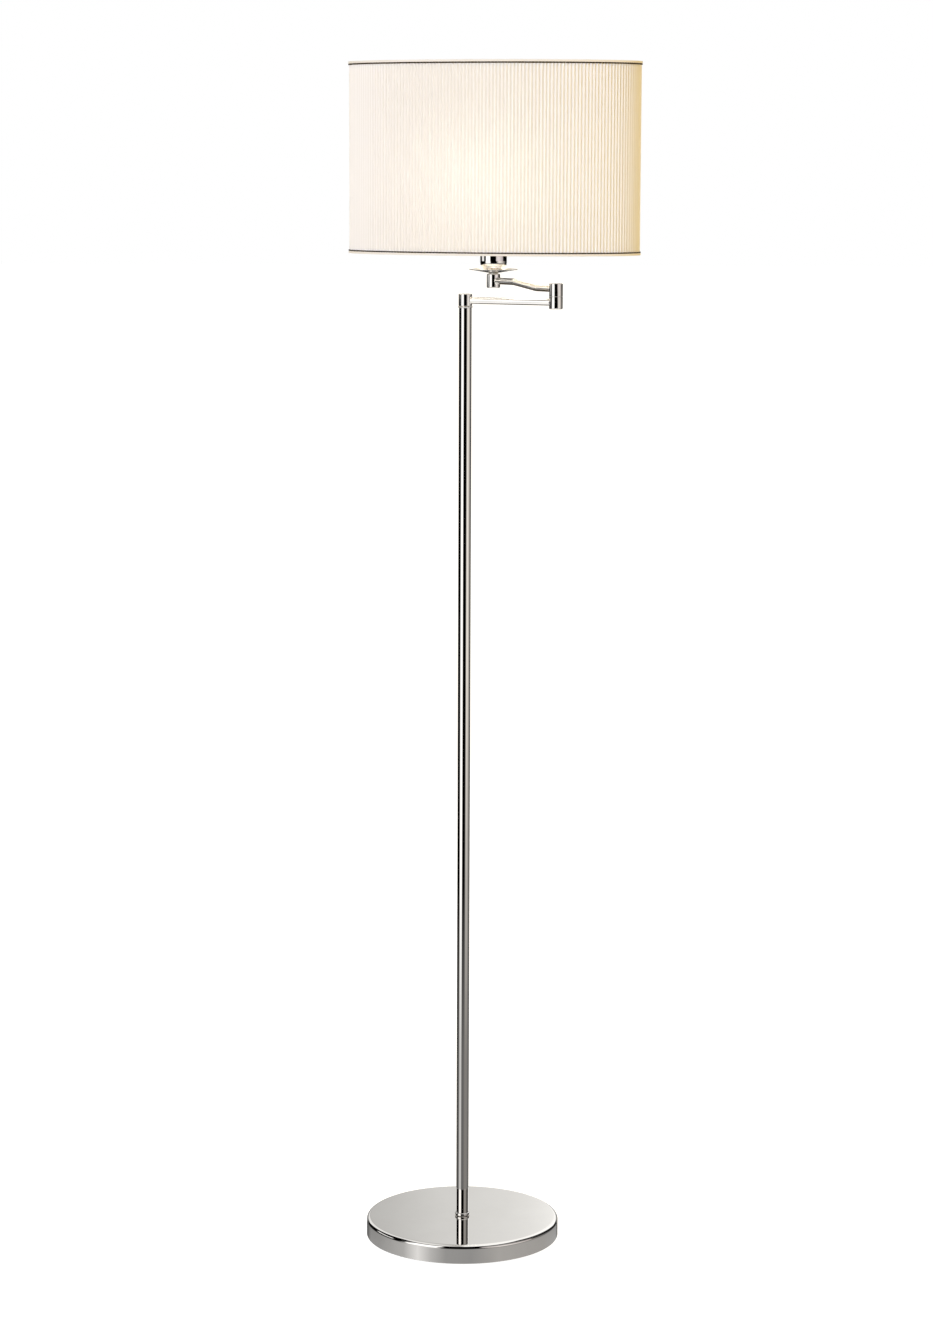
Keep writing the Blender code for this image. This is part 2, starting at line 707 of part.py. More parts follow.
def lampholder():
    """What turns on the upper arm: the nipple, saucer, cup and the parts of the E27 holder."""
    lower_nut_top = HEAD_KNUCKLE_TOP - PLATE - GAP
    nipple_bottom = lower_nut_top - NUT_THICKNESS - THREAD_SHOWN
    sleeve(
        "head_nipple", SHANK_RADIUS, PIVOT_BORE, nipple_bottom, HEAD_NIPPLE_TOP, STEEL, HEAD,
        sides=INNER_SIDES,
    )
    lower_nut_bottom = lower_nut_top - NUT_THICKNESS
    hex_nut(
        "head_lower_nut", NUT_FLATS, PIVOT_CLEARANCE, lower_nut_bottom, NUT_THICKNESS, STEEL, HEAD
    )

    dish = HEAD_KNUCKLE_TOP + HEAD_WASHER_THICKNESS + 2 * GAP
    turned(
        "saucer",
        [
            (SAUCER_RADIUS, dish + SAUCER_RISE + SHEET_METAL),
            (SAUCER_RADIUS, dish + SAUCER_RISE),
            (SAUCER_FLAT, dish, SAUCER_BEND),
            (PIVOT_CLEARANCE, dish),
            (PIVOT_CLEARANCE, dish + SHEET_METAL),
            (SAUCER_FLAT, dish + SHEET_METAL, SAUCER_BEND),
        ],
        NICKEL,
        HEAD,
        ring=True,
    )
    cup = dish + SHEET_METAL + GAP
    cup_inner = CUP_RADIUS - SHEET_METAL
    turned(
        "socket_cup",
        [
            (CUP_RADIUS, CUP_TOP),
            (CUP_RADIUS, cup, CUP_ROUND),
            (PIVOT_CLEARANCE, cup),
            (PIVOT_CLEARANCE, cup + SHEET_METAL),
            (cup_inner, cup + SHEET_METAL, CUP_ROUND - SHEET_METAL),
            (cup_inner, CUP_TOP),
        ],
        NICKEL,
        HEAD,
        ring=True,
    )
    upper_nut_bottom = cup + SHEET_METAL + GAP
    hex_nut(
        "head_upper_nut", NUT_FLATS, PIVOT_CLEARANCE, upper_nut_bottom, NUT_THICKNESS, STEEL, HEAD
    )

    floor_top = HOLDER_FLOOR + HOLDER_FLOOR_THICKNESS
    turned(
        "lampholder_base",
        [
            (HOLDER_RADIUS, floor_top),
            (HOLDER_RADIUS, HOLDER_FLOOR),
            (BOSS_RADIUS, HOLDER_FLOOR),
            (BOSS_RADIUS, BOSS_BOTTOM),
            (PIVOT_CLEARANCE, BOSS_BOTTOM),
            (PIVOT_CLEARANCE, floor_top),
        ],
        PLASTIC,
        HEAD,
        ring=True,
        sides=INNER_SIDES,
    )
    contact_bottom = floor_top + GAP
    turned(
        "lampholder_contact",
        [
            (0, contact_bottom + CONTACT_HEIGHT),
            (CAP_TIP_RADIUS, contact_bottom + CONTACT_HEIGHT, CONTACT_EDGE),
            (CAP_TIP_RADIUS, contact_bottom + CONTACT_RIM),
            (CONTACT_RADIUS, contact_bottom + CONTACT_RIM),
            (CONTACT_RADIUS, contact_bottom),
            (0, contact_bottom),
        ],
        BRASS,
        HEAD,
        sides=INNER_SIDES,
    )
    flange_bottom = CUP_TOP + GAP
    turned(
        "lampholder_body",
        [
            (COLLAR_THREAD_RADIUS, COLLAR_TOP, CRISP_EDGE),
            (COLLAR_THREAD_RADIUS, flange_bottom + HOLDER_FLANGE_THICKNESS),
            (HOLDER_FLANGE_RADIUS, flange_bottom + HOLDER_FLANGE_THICKNESS),
            (HOLDER_FLANGE_RADIUS, flange_bottom),
            (HOLDER_RADIUS, flange_bottom),
            (HOLDER_RADIUS, floor_top + GAP),
            (HOLDER_BORE, floor_top + GAP),
            (HOLDER_BORE, COLLAR_TOP),
        ],
        PLASTIC,
        HEAD,
        ring=True,
    )
    sleeve(
        "lampholder_shell", SHELL_RADIUS, SHELL_RADIUS - SHELL_WALL, SHELL_BOTTOM, SHELL_TOP, BRASS, HEAD,
        sides=INNER_SIDES,
    )


def bulb():
    """The lamp bulb: its screw cap, and its glass, a shell that is open at the neck."""
    bottom = HOLDER_FLOOR + HOLDER_FLOOR_THICKNESS + CONTACT_HEIGHT + 2 * GAP
    cap_top = bottom + CAP_HEIGHT
    outline = [(0, cap_top), (CAP_RADIUS - CAP_THREAD_DEPTH, cap_top)]
    for turn in range(CAP_TURNS):
        crest = cap_top - CAP_THREAD_PITCH * (turn + 0.5)
        outline.append((CAP_RADIUS, crest))
        outline.append((CAP_RADIUS - CAP_THREAD_DEPTH, crest - CAP_THREAD_PITCH / 2))
    outline += [
        (CAP_INSULATOR_RADIUS, bottom + CAP_INSULATOR_TOP),
        (CAP_TIP_RADIUS, bottom + CAP_TIP_HEIGHT),
        (CAP_TIP_RADIUS, bottom),
        (0, bottom),
    ]
    turned("bulb_cap", outline, BRASS, HEAD, sides=INNER_SIDES)

    ball = bottom + BULB_LENGTH - BULB_RADIUS
    glass_bottom = cap_top + GAP
    outer = glass_outline(BULB_RADIUS, NECK_RADIUS, ball, glass_bottom)
    inner = glass_outline(BULB_RADIUS - GLASS_WALL, NECK_RADIUS - GLASS_WALL, ball, glass_bottom)
    turned("bulb_glass", outer + inner[::-1], GLASS, HEAD)


def glass_outline(radius, neck, ball, bottom):
    """A ball of that radius with its centre at height ball, which runs straight into a round neck."""
    points = []
    for i in range(BALL_STEPS + 1):
        angle = NECK_START * i / BALL_STEPS
        points.append((radius * math.sin(angle), ball + radius * math.cos(angle)))
    edge, height = points[-1]
    slope = math.tan(NECK_START - math.pi / 2)
    elbow = height - (edge - neck) / slope
    shoulder = rounded([points[-1], (neck, elbow, NECK_BEND), (neck, bottom)])
    return points + [tuple(p) for p in shoulder[1:]]


def oval(inset, height):
    """Points on the shade's oval, drawn in by inset."""
    points = []
    for i in range(SHADE_POINTS):
        angle = 2 * math.pi * i / SHADE_POINTS
        place = Vector((SHADE_HALF_LENGTH * math.cos(angle), SHADE_HALF_WIDTH * math.sin(angle)))
        outward = Vector((math.cos(angle) / SHADE_HALF_LENGTH, math.sin(angle) / SHADE_HALF_WIDTH))
        place -= outward.normalized() * inset
        points.append((place.x, place.y, height))
    return points


def swept(name, section, shade):
    """A closed band round the shade: its section is (inset, height) corners, from the inside bottom
    corner to the outside bottom corner and on round."""
    profile = bpy.data.curves.new(name + "_section", "CURVE")
    profile.dimensions = "2D"
    spline = profile.splines.new("POLY")
    spline.points.add(len(section) - 1)
    for point, corner in zip(spline.points, section):
        point.co = (*corner, 0, 1)
    spline.use_cyclic_u = True
    guide = bpy.data.objects.new(name + "_section", profile)
    guide.hide_render = True
    guide.display_type = "WIRE"
    cutters.objects.link(guide)

    track = bpy.data.curves.new(name, "CURVE")
    track.dimensions = "2D"
    track.bevel_mode = "OBJECT"
    track.bevel_object = guide
    spline = track.splines.new("POLY")
    spline.points.add(SHADE_POINTS - 1)
    for point, place in zip(spline.points, oval(0, 0)):
        point.co = (*place, 1)
    spline.use_cyclic_u = True
    return settled(placed(bpy.data.objects.new(name, track), shade, HEAD))


def wall_section(outer, inner, bottom, top):
    """The section of a plain wall."""
    return [(inner, bottom), (outer, bottom), (outer, top), (inner, top)]


def shade_cover():
    """The pleated cover and its liner, the tapes folded over their edges, and the dark cords."""
    bottom = SHADE_BOTTOM + TAPE + GAP
    top = SHADE_TOP - TAPE - GAP
    swept("shade_fabric", wall_section(FABRIC_OUT, FABRIC_IN, bottom, top), FABRIC)
    swept("shade_liner", wall_section(LINER_OUT, LINER_IN, bottom, top), LINER)

    tape = [
        (TAPE_DEPTH, 0),
        (0, 0),
        (0, TAPE_HEIGHT),
        (TAPE, TAPE_HEIGHT),
        (TAPE, TAPE),
        (TAPE_DEPTH - TAPE, TAPE),
        (TAPE_DEPTH - TAPE, TAPE_HEIGHT),
        (TAPE_DEPTH, TAPE_HEIGHT),
    ]
    swept("shade_bottom_binding", [(x, SHADE_BOTTOM + z) for x, z in tape], TAPE_CLOTH)
    swept("shade_top_binding", [(x, SHADE_TOP - z) for x, z in reversed(tape)], TAPE_CLOTH)

    inset = FABRIC_OUT - GAP - PIPING_RADIUS
    from_edge = TAPE_HEIGHT + GAP + PIPING_RADIUS
    for name, height in (
        ("shade_bottom_piping", SHADE_BOTTOM + from_edge),
        ("shade_top_piping", SHADE_TOP - from_edge),
    ):
        loop = path_curve(name, oval(inset, height), PIPING_RADIUS, 1, closed=True)
        settled(placed(loop, PIPING, HEAD))


def shade_frame():
    """The welded carrier with the bottom wire, the ring nut that clamps it, and the top wire."""
    fitter_bottom = CUP_TOP + HOLDER_FLANGE_THICKNESS + 2 * GAP
    fitter_top = fitter_bottom + FITTER_THICKNESS
    carrier = sleeve(
        "shade_carrier", FITTER_OUTER, FITTER_INNER, fitter_bottom, fitter_top, WIRE, HEAD
    )
    wire_bottom = SHADE_BOTTOM + WIRE_FROM_EDGE
    ring = path_curve(
        "carrier_ring", oval(WIRE_INSET, wire_bottom), WIRE_RADIUS, WIRE_SMOOTHNESS, closed=True
    )
    joined = [weld(ring)]
    level = (fitter_bottom + fitter_top) / 2
    for i, reach in enumerate((SHADE_HALF_LENGTH, SHADE_HALF_WIDTH) * 2):
        route = rounded([
            (SPOKE_START, level),
            (SPOKE_LEVEL_END, level, SPOKE_BEND),
            (reach - WIRE_INSET, wire_bottom),
        ])
        across = Vector((math.cos(i * math.pi / 2), math.sin(i * math.pi / 2), 0))
        points = [across * along + Vector((0, 0, height)) for along, height in route]
        joined.append(weld(path_curve(f"carrier_spoke_{i + 1}", points, SPOKE_RADIUS, WIRE_SMOOTHNESS)))
    for piece in joined:
        union = carrier.modifiers.new("Weld", "BOOLEAN")
        union.operation = "UNION"
        union.object = piece

    nut_bottom = fitter_top + GAP
    sleeve(
        "shade_ring_nut", RING_NUT_RADIUS, FITTER_INNER, nut_bottom, nut_bottom + RING_NUT_HEIGHT,
        PLASTIC, HEAD, edge=FINE_EDGE,
    )
    wire_top = SHADE_TOP - WIRE_FROM_EDGE
    loop = path_curve(
        "shade_top_ring", oval(WIRE_INSET, wire_top), WIRE_RADIUS, WIRE_SMOOTHNESS, closed=True
    )
    settled(placed(loop, WIRE, HEAD))


def weld(piece):
    """Makes a curve a solid that a Boolean can join to the carrier."""
    piece.parent = HEAD
    cutters.objects.link(piece)
    solid = settled(piece)
    solid.hide_render = True
    solid.display_type = "WIRE"
    return solid


base()
cable_bush()
pole()
lower_arm()
upper_arm()
leads()
lampholder()
bulb()
shade_cover()
shade_frame()
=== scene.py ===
"""Looks of the adjustable arm floor lamp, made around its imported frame.

Metres, +Z up, in the frame's own axes. Every visible turned, bent or sewn piece is made again here with
a fine surface, in the place that its CAD node holds, and rides on the same body.
"""

import json
import math
import random

import bpy
from mathutils import Matrix, Vector

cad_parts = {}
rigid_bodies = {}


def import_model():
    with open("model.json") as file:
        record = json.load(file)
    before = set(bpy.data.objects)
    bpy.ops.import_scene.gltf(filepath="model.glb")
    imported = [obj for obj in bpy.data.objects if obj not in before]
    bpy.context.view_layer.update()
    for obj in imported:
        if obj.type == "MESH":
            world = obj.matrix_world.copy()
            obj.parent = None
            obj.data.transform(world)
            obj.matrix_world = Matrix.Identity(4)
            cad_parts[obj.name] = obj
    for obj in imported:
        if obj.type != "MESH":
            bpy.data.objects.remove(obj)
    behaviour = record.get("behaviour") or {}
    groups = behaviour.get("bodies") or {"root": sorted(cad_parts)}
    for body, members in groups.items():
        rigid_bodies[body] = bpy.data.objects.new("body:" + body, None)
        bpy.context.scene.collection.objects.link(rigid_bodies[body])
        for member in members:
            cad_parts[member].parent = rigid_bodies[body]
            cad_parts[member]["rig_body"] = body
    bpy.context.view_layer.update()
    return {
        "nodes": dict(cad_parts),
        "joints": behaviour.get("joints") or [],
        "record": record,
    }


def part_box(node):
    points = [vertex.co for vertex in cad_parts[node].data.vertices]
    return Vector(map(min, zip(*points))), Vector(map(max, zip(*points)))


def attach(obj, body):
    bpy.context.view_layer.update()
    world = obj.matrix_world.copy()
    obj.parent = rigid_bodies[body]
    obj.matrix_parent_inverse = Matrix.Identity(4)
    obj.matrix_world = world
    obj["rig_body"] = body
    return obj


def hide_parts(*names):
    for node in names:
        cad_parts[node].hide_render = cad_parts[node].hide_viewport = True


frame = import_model()

SLOT_OF = {part["node"]: part["material_slot"] for part in frame["record"]["subparts"]}
AXIS_OF = {joint["name"]: Vector(joint["pos_m"][:2]) for joint in frame["joints"]}
POLE_AXIS = AXIS_OF["pole_swivel"]
ELBOW_AXIS = AXIS_OF["elbow_swivel"]
HEAD_AXIS = AXIS_OF["head_swivel"]

# Camera
CAMERA_PLACE = Vector((0.003, -4.160, 1.3936))
CAMERA_DOWN = math.radians(8.62)
CAMERA_ROLL = math.radians(0.2)
CAMERA_LENS = 89.87
SENSOR = 36

# Fineness
SIDES = 96
BASE_SIDES = 256
ROD_SIDES = 40
ARC_STEPS = 8
SMOOTH_UNDER = math.radians(32)
BAND_SMOOTH_UNDER = math.radians(60)

# Stand
COVER_EDGE = 0.0046
COVER_WALL = 0.0012
COVER_LIP = 0.0004
PAD_TOP_EDGE = 0.0004
PAD_BOTTOM_EDGE = 0.0008
NIPPLE_HOLE = 0.0053
POLE_WALL = 0.001
POLE_EDGE = 0.0002
COLLAR_EDGE = 0.0013
WASHER_EDGE = 0.00085
BUSH_NECK = 0.0037
BUSH_HOLE = 0.0026
BUSH_FLANGE = 0.0018

# Arms
BARREL_CRISP = 0.0005
BARREL_SOFT = 0.0013
BARREL_SEAM = 0.0002  # edge of the elbow's barrels where they meet
SEAM_CLOSER = 0.0005  # how far each of them grows into the CAD's gap
SEAM_DEPTH = 0.0012  # how far in from the barrels their washer ends
SEAM_WASHER_EDGE = 0.0001
CAP_EDGE = 0.0003
CAP_GAP = 0.0003
PLATE = 0.0023
PIVOT_HOLE = 0.0043
BEND_START = 0.31  # share of the upper arm's length, from the elbow
BEND_END = 0.67
ELBOW_SIDE_BEND = 0.045
HEAD_SIDE_BEND = 0.022
BRAZE = 0.0007  # size of the fillet where a tube runs into a barrel
BRAZE_SINK = 0.00005  # how far it is sunk into both, so that no gap shows
TUBE_END = 0.0071  # where a tube ends inside a barrel, from the barrel's axis

# Saucer, cup, lampholder and bulb
SHEET = 0.0008
SHEET_EDGE = SHEET * 0.45
SAUCER_FLAT = 0.009
SAUCER_BEND = 0.02
SAUCER_DROP = 0.0006  # how far its rim sits below the CAD's, as the photograph shows it
CUP_RIM = 0.0002
CUP_ROUND = 0.0125
FLANGE_HEIGHT = 0.002
FLANGE_EDGE = 0.0005
SCREW_CREST = 0.0166
SCREW_ROOT = 0.0161
SCREW_PITCH = 0.0020
HOLDER_RADIUS = 0.0158
HOLDER_BORE = 0.01435
NUT_SHARE = 0.985  # the ring nut's mean radius, as a share of its grips'
NUT_EDGE = 0.0007
BULB_NECK = 0.013
BULB_NECK_BEND = 0.03
BULB_CUT = math.radians(120)  # how far round from its top the ball runs
BULB_POINTS = 20
BULB_LIGHT_DROP = 0.030

# Shade
SHADE_TURN = math.radians(-12.7)
OVAL_POINTS = 240
OVAL_FINE = 2880
BOTTOM_DROP = 0.0013  # how far the rims sit below the CAD's, as the photograph shows them
TOP_DROP = 0.0006
PLEATS = 208
PLEAT_POINTS = 8
PLEAT_ROWS = 13
PLEAT_SHIFT = 0.035  # share of a pleat's width that it may be out of place
PLEAT_SHALLOW = 0.95  # the shallowest pleat's depth, as a share of the deepest's
PLEAT_WAVE = 0.02
PLEAT_POINTED = 0.985  # 1 folds the cloth sharply
RIDGE_INSET = 0.0010
VALLEY_INSET = 0.0030
CLOTH_GAP = 0.0004  # between the cloth's edges and the tapes
WEAVE_PITCH = 0.00045
TWILL_PITCH = 0.0007
LINER_OUT = 0.0034
LINER_IN = 0.0041
LINER_GAP = 0.0003
LINER_ROWS = 5
TAPE = 0.0006
TAPE_FOLD = TAPE * 0.5
TAPE_EDGE = TAPE * 0.45
TAPE_HEIGHT = 0.0027
TAPE_DEPTH = 0.005
CORD_RADIUS = 0.0009
CORD_INSET = -0.00015
CORD_FROM_EDGE = 0.0036
CORD_TWIST = 0.0042
CORD_SIDES = 10
CORD_POINTS = 1440
WIRE_RADIUS = 0.0017
WIRE_INSET = 0.007
WIRE_FROM_EDGE = 0.002
WIRE_SIDES = 16
FITTER_RADIUS = 0.021
FITTER_BORE = 0.0169
FITTER_HEIGHT = 0.0023
SPOKE_RADIUS = 0.0013
SPOKE_START = 0.0198
SPOKE_BEND_AT = 0.030
SPOKE_BEND = 0.008

# Studio
WHITE = (1.0, 1.0, 1.0, 1.0)
BLACK = (0.0, 0.0, 0.0)
FLOOR_HALF = 40
FLOOR_DROP = 0.0003  # just under the lamp's pad
LIGHT_DISTANCE = 3.2


# ---- node trees


def add(tree, kind, inputs=None, **settings):
    """A new node with its settings; an input takes a value, or another node's output."""
    made = tree.nodes.new(kind)
    for name, value in settings.items():
        setattr(made, name, value)
    for socket, value in (inputs or {}).items():
        if isinstance(value, bpy.types.NodeSocket):
            tree.links.new(value, made.inputs[socket])
        else:
            made.inputs[socket].default_value = value
    return made


def math_node(tree, operation, *values):
    """The output of a Math node."""
    return add(tree, "ShaderNodeMath", dict(enumerate(values)), operation=operation).outputs[0]


def ranged(tree, value, low, high, to_low, to_high, smooth=False):
    """A value mapped from one range to another, and held at its ends."""
    made = add(tree, "ShaderNodeMapRange", {0: value, 1: low, 2: high, 3: to_low, 4: to_high})
    if smooth:
        made.interpolation_type = "SMOOTHSTEP"
    return made.outputs[0]


def mixed(tree, factor, first, second):
    """Two colours mixed by a factor."""
    made = add(tree, "ShaderNodeMix", {"Factor": factor}, data_type="RGBA")
    for socket, value in ((made.inputs[6], first), (made.inputs[7], second)):
        if isinstance(value, bpy.types.NodeSocket):
            tree.links.new(value, socket)
        else:
            socket.default_value = (*value, 1)
    return made.outputs[2]


def noise(tree, place, scale, detail):
    """The output of a noise texture."""
    texture = add(tree, "ShaderNodeTexNoise", {"Vector": place, "Scale": scale, "Detail": detail})
    return texture.outputs["Fac"]


def stretched(tree, place, scale):
    """Coordinates scaled by three numbers."""
    return add(tree, "ShaderNodeMapping", {"Vector": place, "Scale": scale}).outputs[0]


def bump(tree, height, strength, distance):
    """The output of a bump node."""
    made = add(tree, "ShaderNodeBump", {"Strength": strength, "Distance": distance, "Height": height})
    return made.outputs[0]


def material(name, roughness, metallic=0.0, **sockets):
    """A new material, its tree, its Principled node with these settings, and object coordinates."""
    made = bpy.data.materials.new(name)
    made.use_nodes = True
    tree = made.node_tree
    surface = tree.nodes["Principled BSDF"]
    surface.inputs["Roughness"].default_value = roughness
    surface.inputs["Metallic"].default_value = metallic
    for socket, value in sockets.items():
        surface.inputs[socket.replace("_", " ")].default_value = value
    place = add(tree, "ShaderNodeTexCoord").outputs["Object"]
    return made, tree, surface, place


def feed(tree, surface, colour, normal=None, roughness=None):
    """Links outputs to the surface's colour, and to its normal and roughness where they are given."""
    tree.links.new(colour, surface.inputs["Base Color"])
    if normal is not None:
        tree.links.new(normal, surface.inputs["Normal"])
    if roughness is not None:
        tree.links.new(roughness, surface.inputs["Roughness"])


def polished_nickel():
    """Nickel plate: a mirror with faint polishing marks and a warm tone that shifts slightly."""
    made, tree, surface, place = material("polished_nickel", 0.05, 1.0)
    cloud = noise(tree, place, 24.0, 2.0)
    tone = mixed(tree, cloud, (0.80, 0.775, 0.745), (0.86, 0.84, 0.81))
    rub = noise(tree, stretched(tree, place, (60.0, 60.0, 9.0)), 6.0, 4.0)
    gloss = ranged(tree, rub, 0.3, 0.7, 0.02, 0.045)
    ripple = bump(tree, noise(tree, place, 55.0, 1.0), 0.02, 0.0005)
    feed(tree, surface, tone, ripple, gloss)
    return made


def cast_iron():
    """Rough casting under black primer."""
    made, tree, surface, place = material("cast_iron", 0.75, 0.4)
    grain = noise(tree, place, 420.0, 6.0)
    tone = mixed(tree, grain, (0.05, 0.05, 0.05), (0.12, 0.115, 0.11))
    feed(tree, surface, tone, bump(tree, grain, 0.6, 0.0006))
    return made


def black_foam():
    """Closed-cell foam with small cells."""
    made, tree, surface, place = material("black_foam", 0.95)
    cells = add(tree, "ShaderNodeTexVoronoi", {"Vector": place, "Scale": 900.0}).outputs["Distance"]
    tone = mixed(tree, cells, (0.012, 0.012, 0.013), (0.05, 0.05, 0.05))
    feed(tree, surface, tone, bump(tree, cells, 0.5, 0.0004))
    return made


def zinc_steel():
    """Zinc plated steel, with the plating's cloudy grain."""
    made, tree, surface, place = material("zinc_plated_steel", 0.32, 1.0)
    grain = noise(tree, place, 260.0, 5.0)
    tone = mixed(tree, grain, (0.52, 0.53, 0.53), (0.70, 0.70, 0.68))
    feed(tree, surface, tone, roughness=ranged(tree, grain, 0.3, 0.7, 0.24, 0.42))
    return made


def black_rubber():
    """Moulded rubber with a fine matt skin."""
    made, tree, surface, place = material("black_rubber", 0.6)
    grain = noise(tree, place, 1500.0, 3.0)
    tone = mixed(tree, grain, (0.012, 0.012, 0.012), (0.035, 0.034, 0.033))
    feed(tree, surface, tone, bump(tree, grain, 0.25, 0.0002))
    return made


def moulded_plastic(name, dark, light, roughness):
    """A moulded plastic with a faint mottle and a soft orange-peel skin."""
    made, tree, surface, place = material(name, roughness)
    tone = mixed(tree, noise(tree, place, 180.0, 4.0), dark, light)
    feed(tree, surface, tone, bump(tree, noise(tree, place, 700.0, 2.0), 0.12, 0.0002))
    return made


def brass():
    """Plain drawn brass, dulled a little."""
    made, tree, surface, place = material("brass", 0.3, 1.0)
    haze = noise(tree, stretched(tree, place, (1.0, 1.0, 0.2)), 300.0, 4.0)
    tone = mixed(tree, haze, (0.60, 0.44, 0.20), (0.78, 0.62, 0.34))
    feed(tree, surface, tone, roughness=ranged(tree, haze, 0.3, 0.7, 0.2, 0.4))
    return made


def white_wire():
    """White powder coat with its fine orange peel."""
    made, tree, surface, place = material("white_wire", 0.42)
    peel = noise(tree, place, 1300.0, 2.0)
    tone = mixed(tree, peel, (0.82, 0.81, 0.78), (0.90, 0.89, 0.86))
    feed(tree, surface, tone, bump(tree, peel, 0.2, 0.0002))
    return made


def let_through(made, tree, surface, colour, share, normal=None):
    """Lets light from behind show through the surface, by a share of a Translucent shader."""
    inputs = {"Color": colour}
    if normal is not None:
        inputs["Normal"] = normal
    through = add(tree, "ShaderNodeBsdfTranslucent", inputs)
    shaders = {0: share, 1: surface.outputs[0], 2: through.outputs[0]}
    both = add(tree, "ShaderNodeMixShader", shaders)
    tree.links.new(both.outputs[0], tree.nodes["Material Output"].inputs["Surface"])
    return made


def shade_liner():
    """Stiff translucent sheet, slightly mottled."""
    made, tree, surface, place = material("shade_liner", 0.45)
    mottle = noise(tree, place, 120.0, 4.0)
    tone = mixed(tree, mottle, (0.90, 0.89, 0.865), (0.93, 0.92, 0.90))
    feed(tree, surface, tone)
    return let_through(made, tree, surface, tone, 0.25)


def thread_height(tree, along, up, pitch):
    """Height of a plain weave of threads with that pitch, from distances along and up the cloth."""
    turn = 2 * math.pi / pitch
    warp = math_node(tree, "SINE", math_node(tree, "MULTIPLY", along, turn))
    weft = math_node(tree, "SINE", math_node(tree, "MULTIPLY", up, turn))
    warp, weft = (math_node(tree, "ABSOLUTE", wave) for wave in (warp, weft))
    return math_node(tree, "ADD", warp, weft)


def cloth_places(tree):
    """The distances along and up the cloth, from its UV map, in metres."""
    place = add(tree, "ShaderNodeUVMap", uv_map="cloth").outputs[0]
    split = add(tree, "ShaderNodeSeparateXYZ", {0: place})
    return split.outputs[0], split.outputs[1]


def pleated_fabric():
    """Fine cream cloth with painted shade in its valleys, slubs along the pleats, and light behind it.
    """
    made, tree, surface, place = material("pleated_cream_fabric", 0.85, Sheen_Weight=0.25)
    along, up = cloth_places(tree)
    slub_place = add(tree, "ShaderNodeCombineXYZ", {0: math_node(tree, "MULTIPLY", along, 9.0), 1: up})
    slub = noise(tree, slub_place.outputs[0], 60.0, 4.0)
    drift = noise(tree, place, 5.0, 2.0)
    fold = add(tree, "ShaderNodeAttribute", attribute_name="fold").outputs["Fac"]
    # Painted shade: the cloth's colour darkens towards each pleat's valley, as if shade fell in the
    # fold.
    painted_valley_shade = ranged(tree, fold, -1.0, 0.5, 0.68, 0.0)
    tone = mixed(tree, slub, (0.875, 0.86, 0.83), (0.925, 0.91, 0.89))
    warm = mixed(tree, drift, (0.92, 0.905, 0.88), (0.89, 0.87, 0.835))
    warm = mixed(tree, painted_valley_shade, warm, (0.62, 0.57, 0.49))
    weave = bump(tree, thread_height(tree, along, up, WEAVE_PITCH), 0.35, 0.0001)
    feed(tree, surface, mixed(tree, 0.5, tone, warm), weave)
    glow = mixed(tree, slub, (0.89, 0.855, 0.785), (0.94, 0.915, 0.85))
    return let_through(made, tree, surface, glow, 0.07, weave)


def tape_cloth():
    """Binding tape: a diagonal twill in cream."""
    made, tree, surface, place = material("cream_tape", 0.8, Sheen_Weight=0.2)
    along, up = cloth_places(tree)
    diagonal = math_node(tree, "ADD", along, up)
    twill = math_node(tree, "SINE", math_node(tree, "MULTIPLY", diagonal, 2 * math.pi / TWILL_PITCH))
    ridge = ranged(tree, twill, -1.0, 1.0, 0.0, 1.0)
    patch = noise(tree, place, 45.0, 3.0)
    tone = mixed(tree, ridge, (0.86, 0.83, 0.77), (0.94, 0.92, 0.87))
    tone = mixed(tree, math_node(tree, "MULTIPLY", patch, 0.3), tone, (0.86, 0.80, 0.70))
    feed(tree, surface, tone, bump(tree, ridge, 0.5, 0.00012))
    return let_through(made, tree, surface, tone, 0.07)


def dark_piping():
    """Dark brown twisted thread."""
    made, tree, surface, place = material("dark_piping", 0.75, Sheen_Weight=0.08)
    fibre = noise(tree, place, 2600.0, 3.0)
    tone = mixed(tree, fibre, (0.010, 0.006, 0.003), (0.045, 0.028, 0.016))
    feed(tree, surface, tone, bump(tree, fibre, 0.5, 0.0001))
    return made


def frosted_glass():
    """The lit bulb's frosted glass, which glows evenly."""
    made, tree, surface, place = material("frosted_glass", 0.35, Transmission_Weight=0.2)
    haze = noise(tree, place, 90.0, 3.0)
    feed(tree, surface, mixed(tree, haze, (0.93, 0.91, 0.87), (0.98, 0.97, 0.94)))
    surface.inputs["Emission Color"].default_value = (1.0, 0.80, 0.55, 1)
    surface.inputs["Emission Strength"].default_value = 0.5
    return made


MATERIALS = {
    "polished_nickel": polished_nickel(),
    "cast_iron": cast_iron(),
    "black_foam": black_foam(),
    "zinc_plated_steel": zinc_steel(),
    "black_rubber": black_rubber(),
    "clear_cable_sleeve": moulded_plastic(
        "clear_cable_sleeve", (0.62, 0.60, 0.54), (0.74, 0.72, 0.66), 0.35
    ),
    "white_nylon": moulded_plastic("white_nylon", (0.74, 0.74, 0.70), (0.84, 0.84, 0.80), 0.5),
    "white_holder_plastic": moulded_plastic(
        "white_holder_plastic", (0.80, 0.79, 0.75), (0.88, 0.87, 0.84), 0.38
    ),
    "brass": brass(),
    "white_wire": white_wire(),
    "shade_liner": shade_liner(),
    "pleated_cream_fabric": pleated_fabric(),
    "cream_tape": tape_cloth(),
    "dark_piping": dark_piping(),
    "frosted_glass": frosted_glass(),
}


# ---- making pieces


def placed(name, data):
    """A new object in the scene."""
    thing = bpy.data.objects.new(name, data)
    bpy.context.scene.collection.objects.link(thing)
    return thing


def goes_with(thing, node):
    """Gives a new piece the material, slot and body of the CAD node that it belongs with."""
    thing.data.materials.append(MATERIALS[SLOT_OF[node]])
    bpy.context.scene.collection.objects.link(thing)
    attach(thing, frame["nodes"][node]["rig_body"])
    return thing


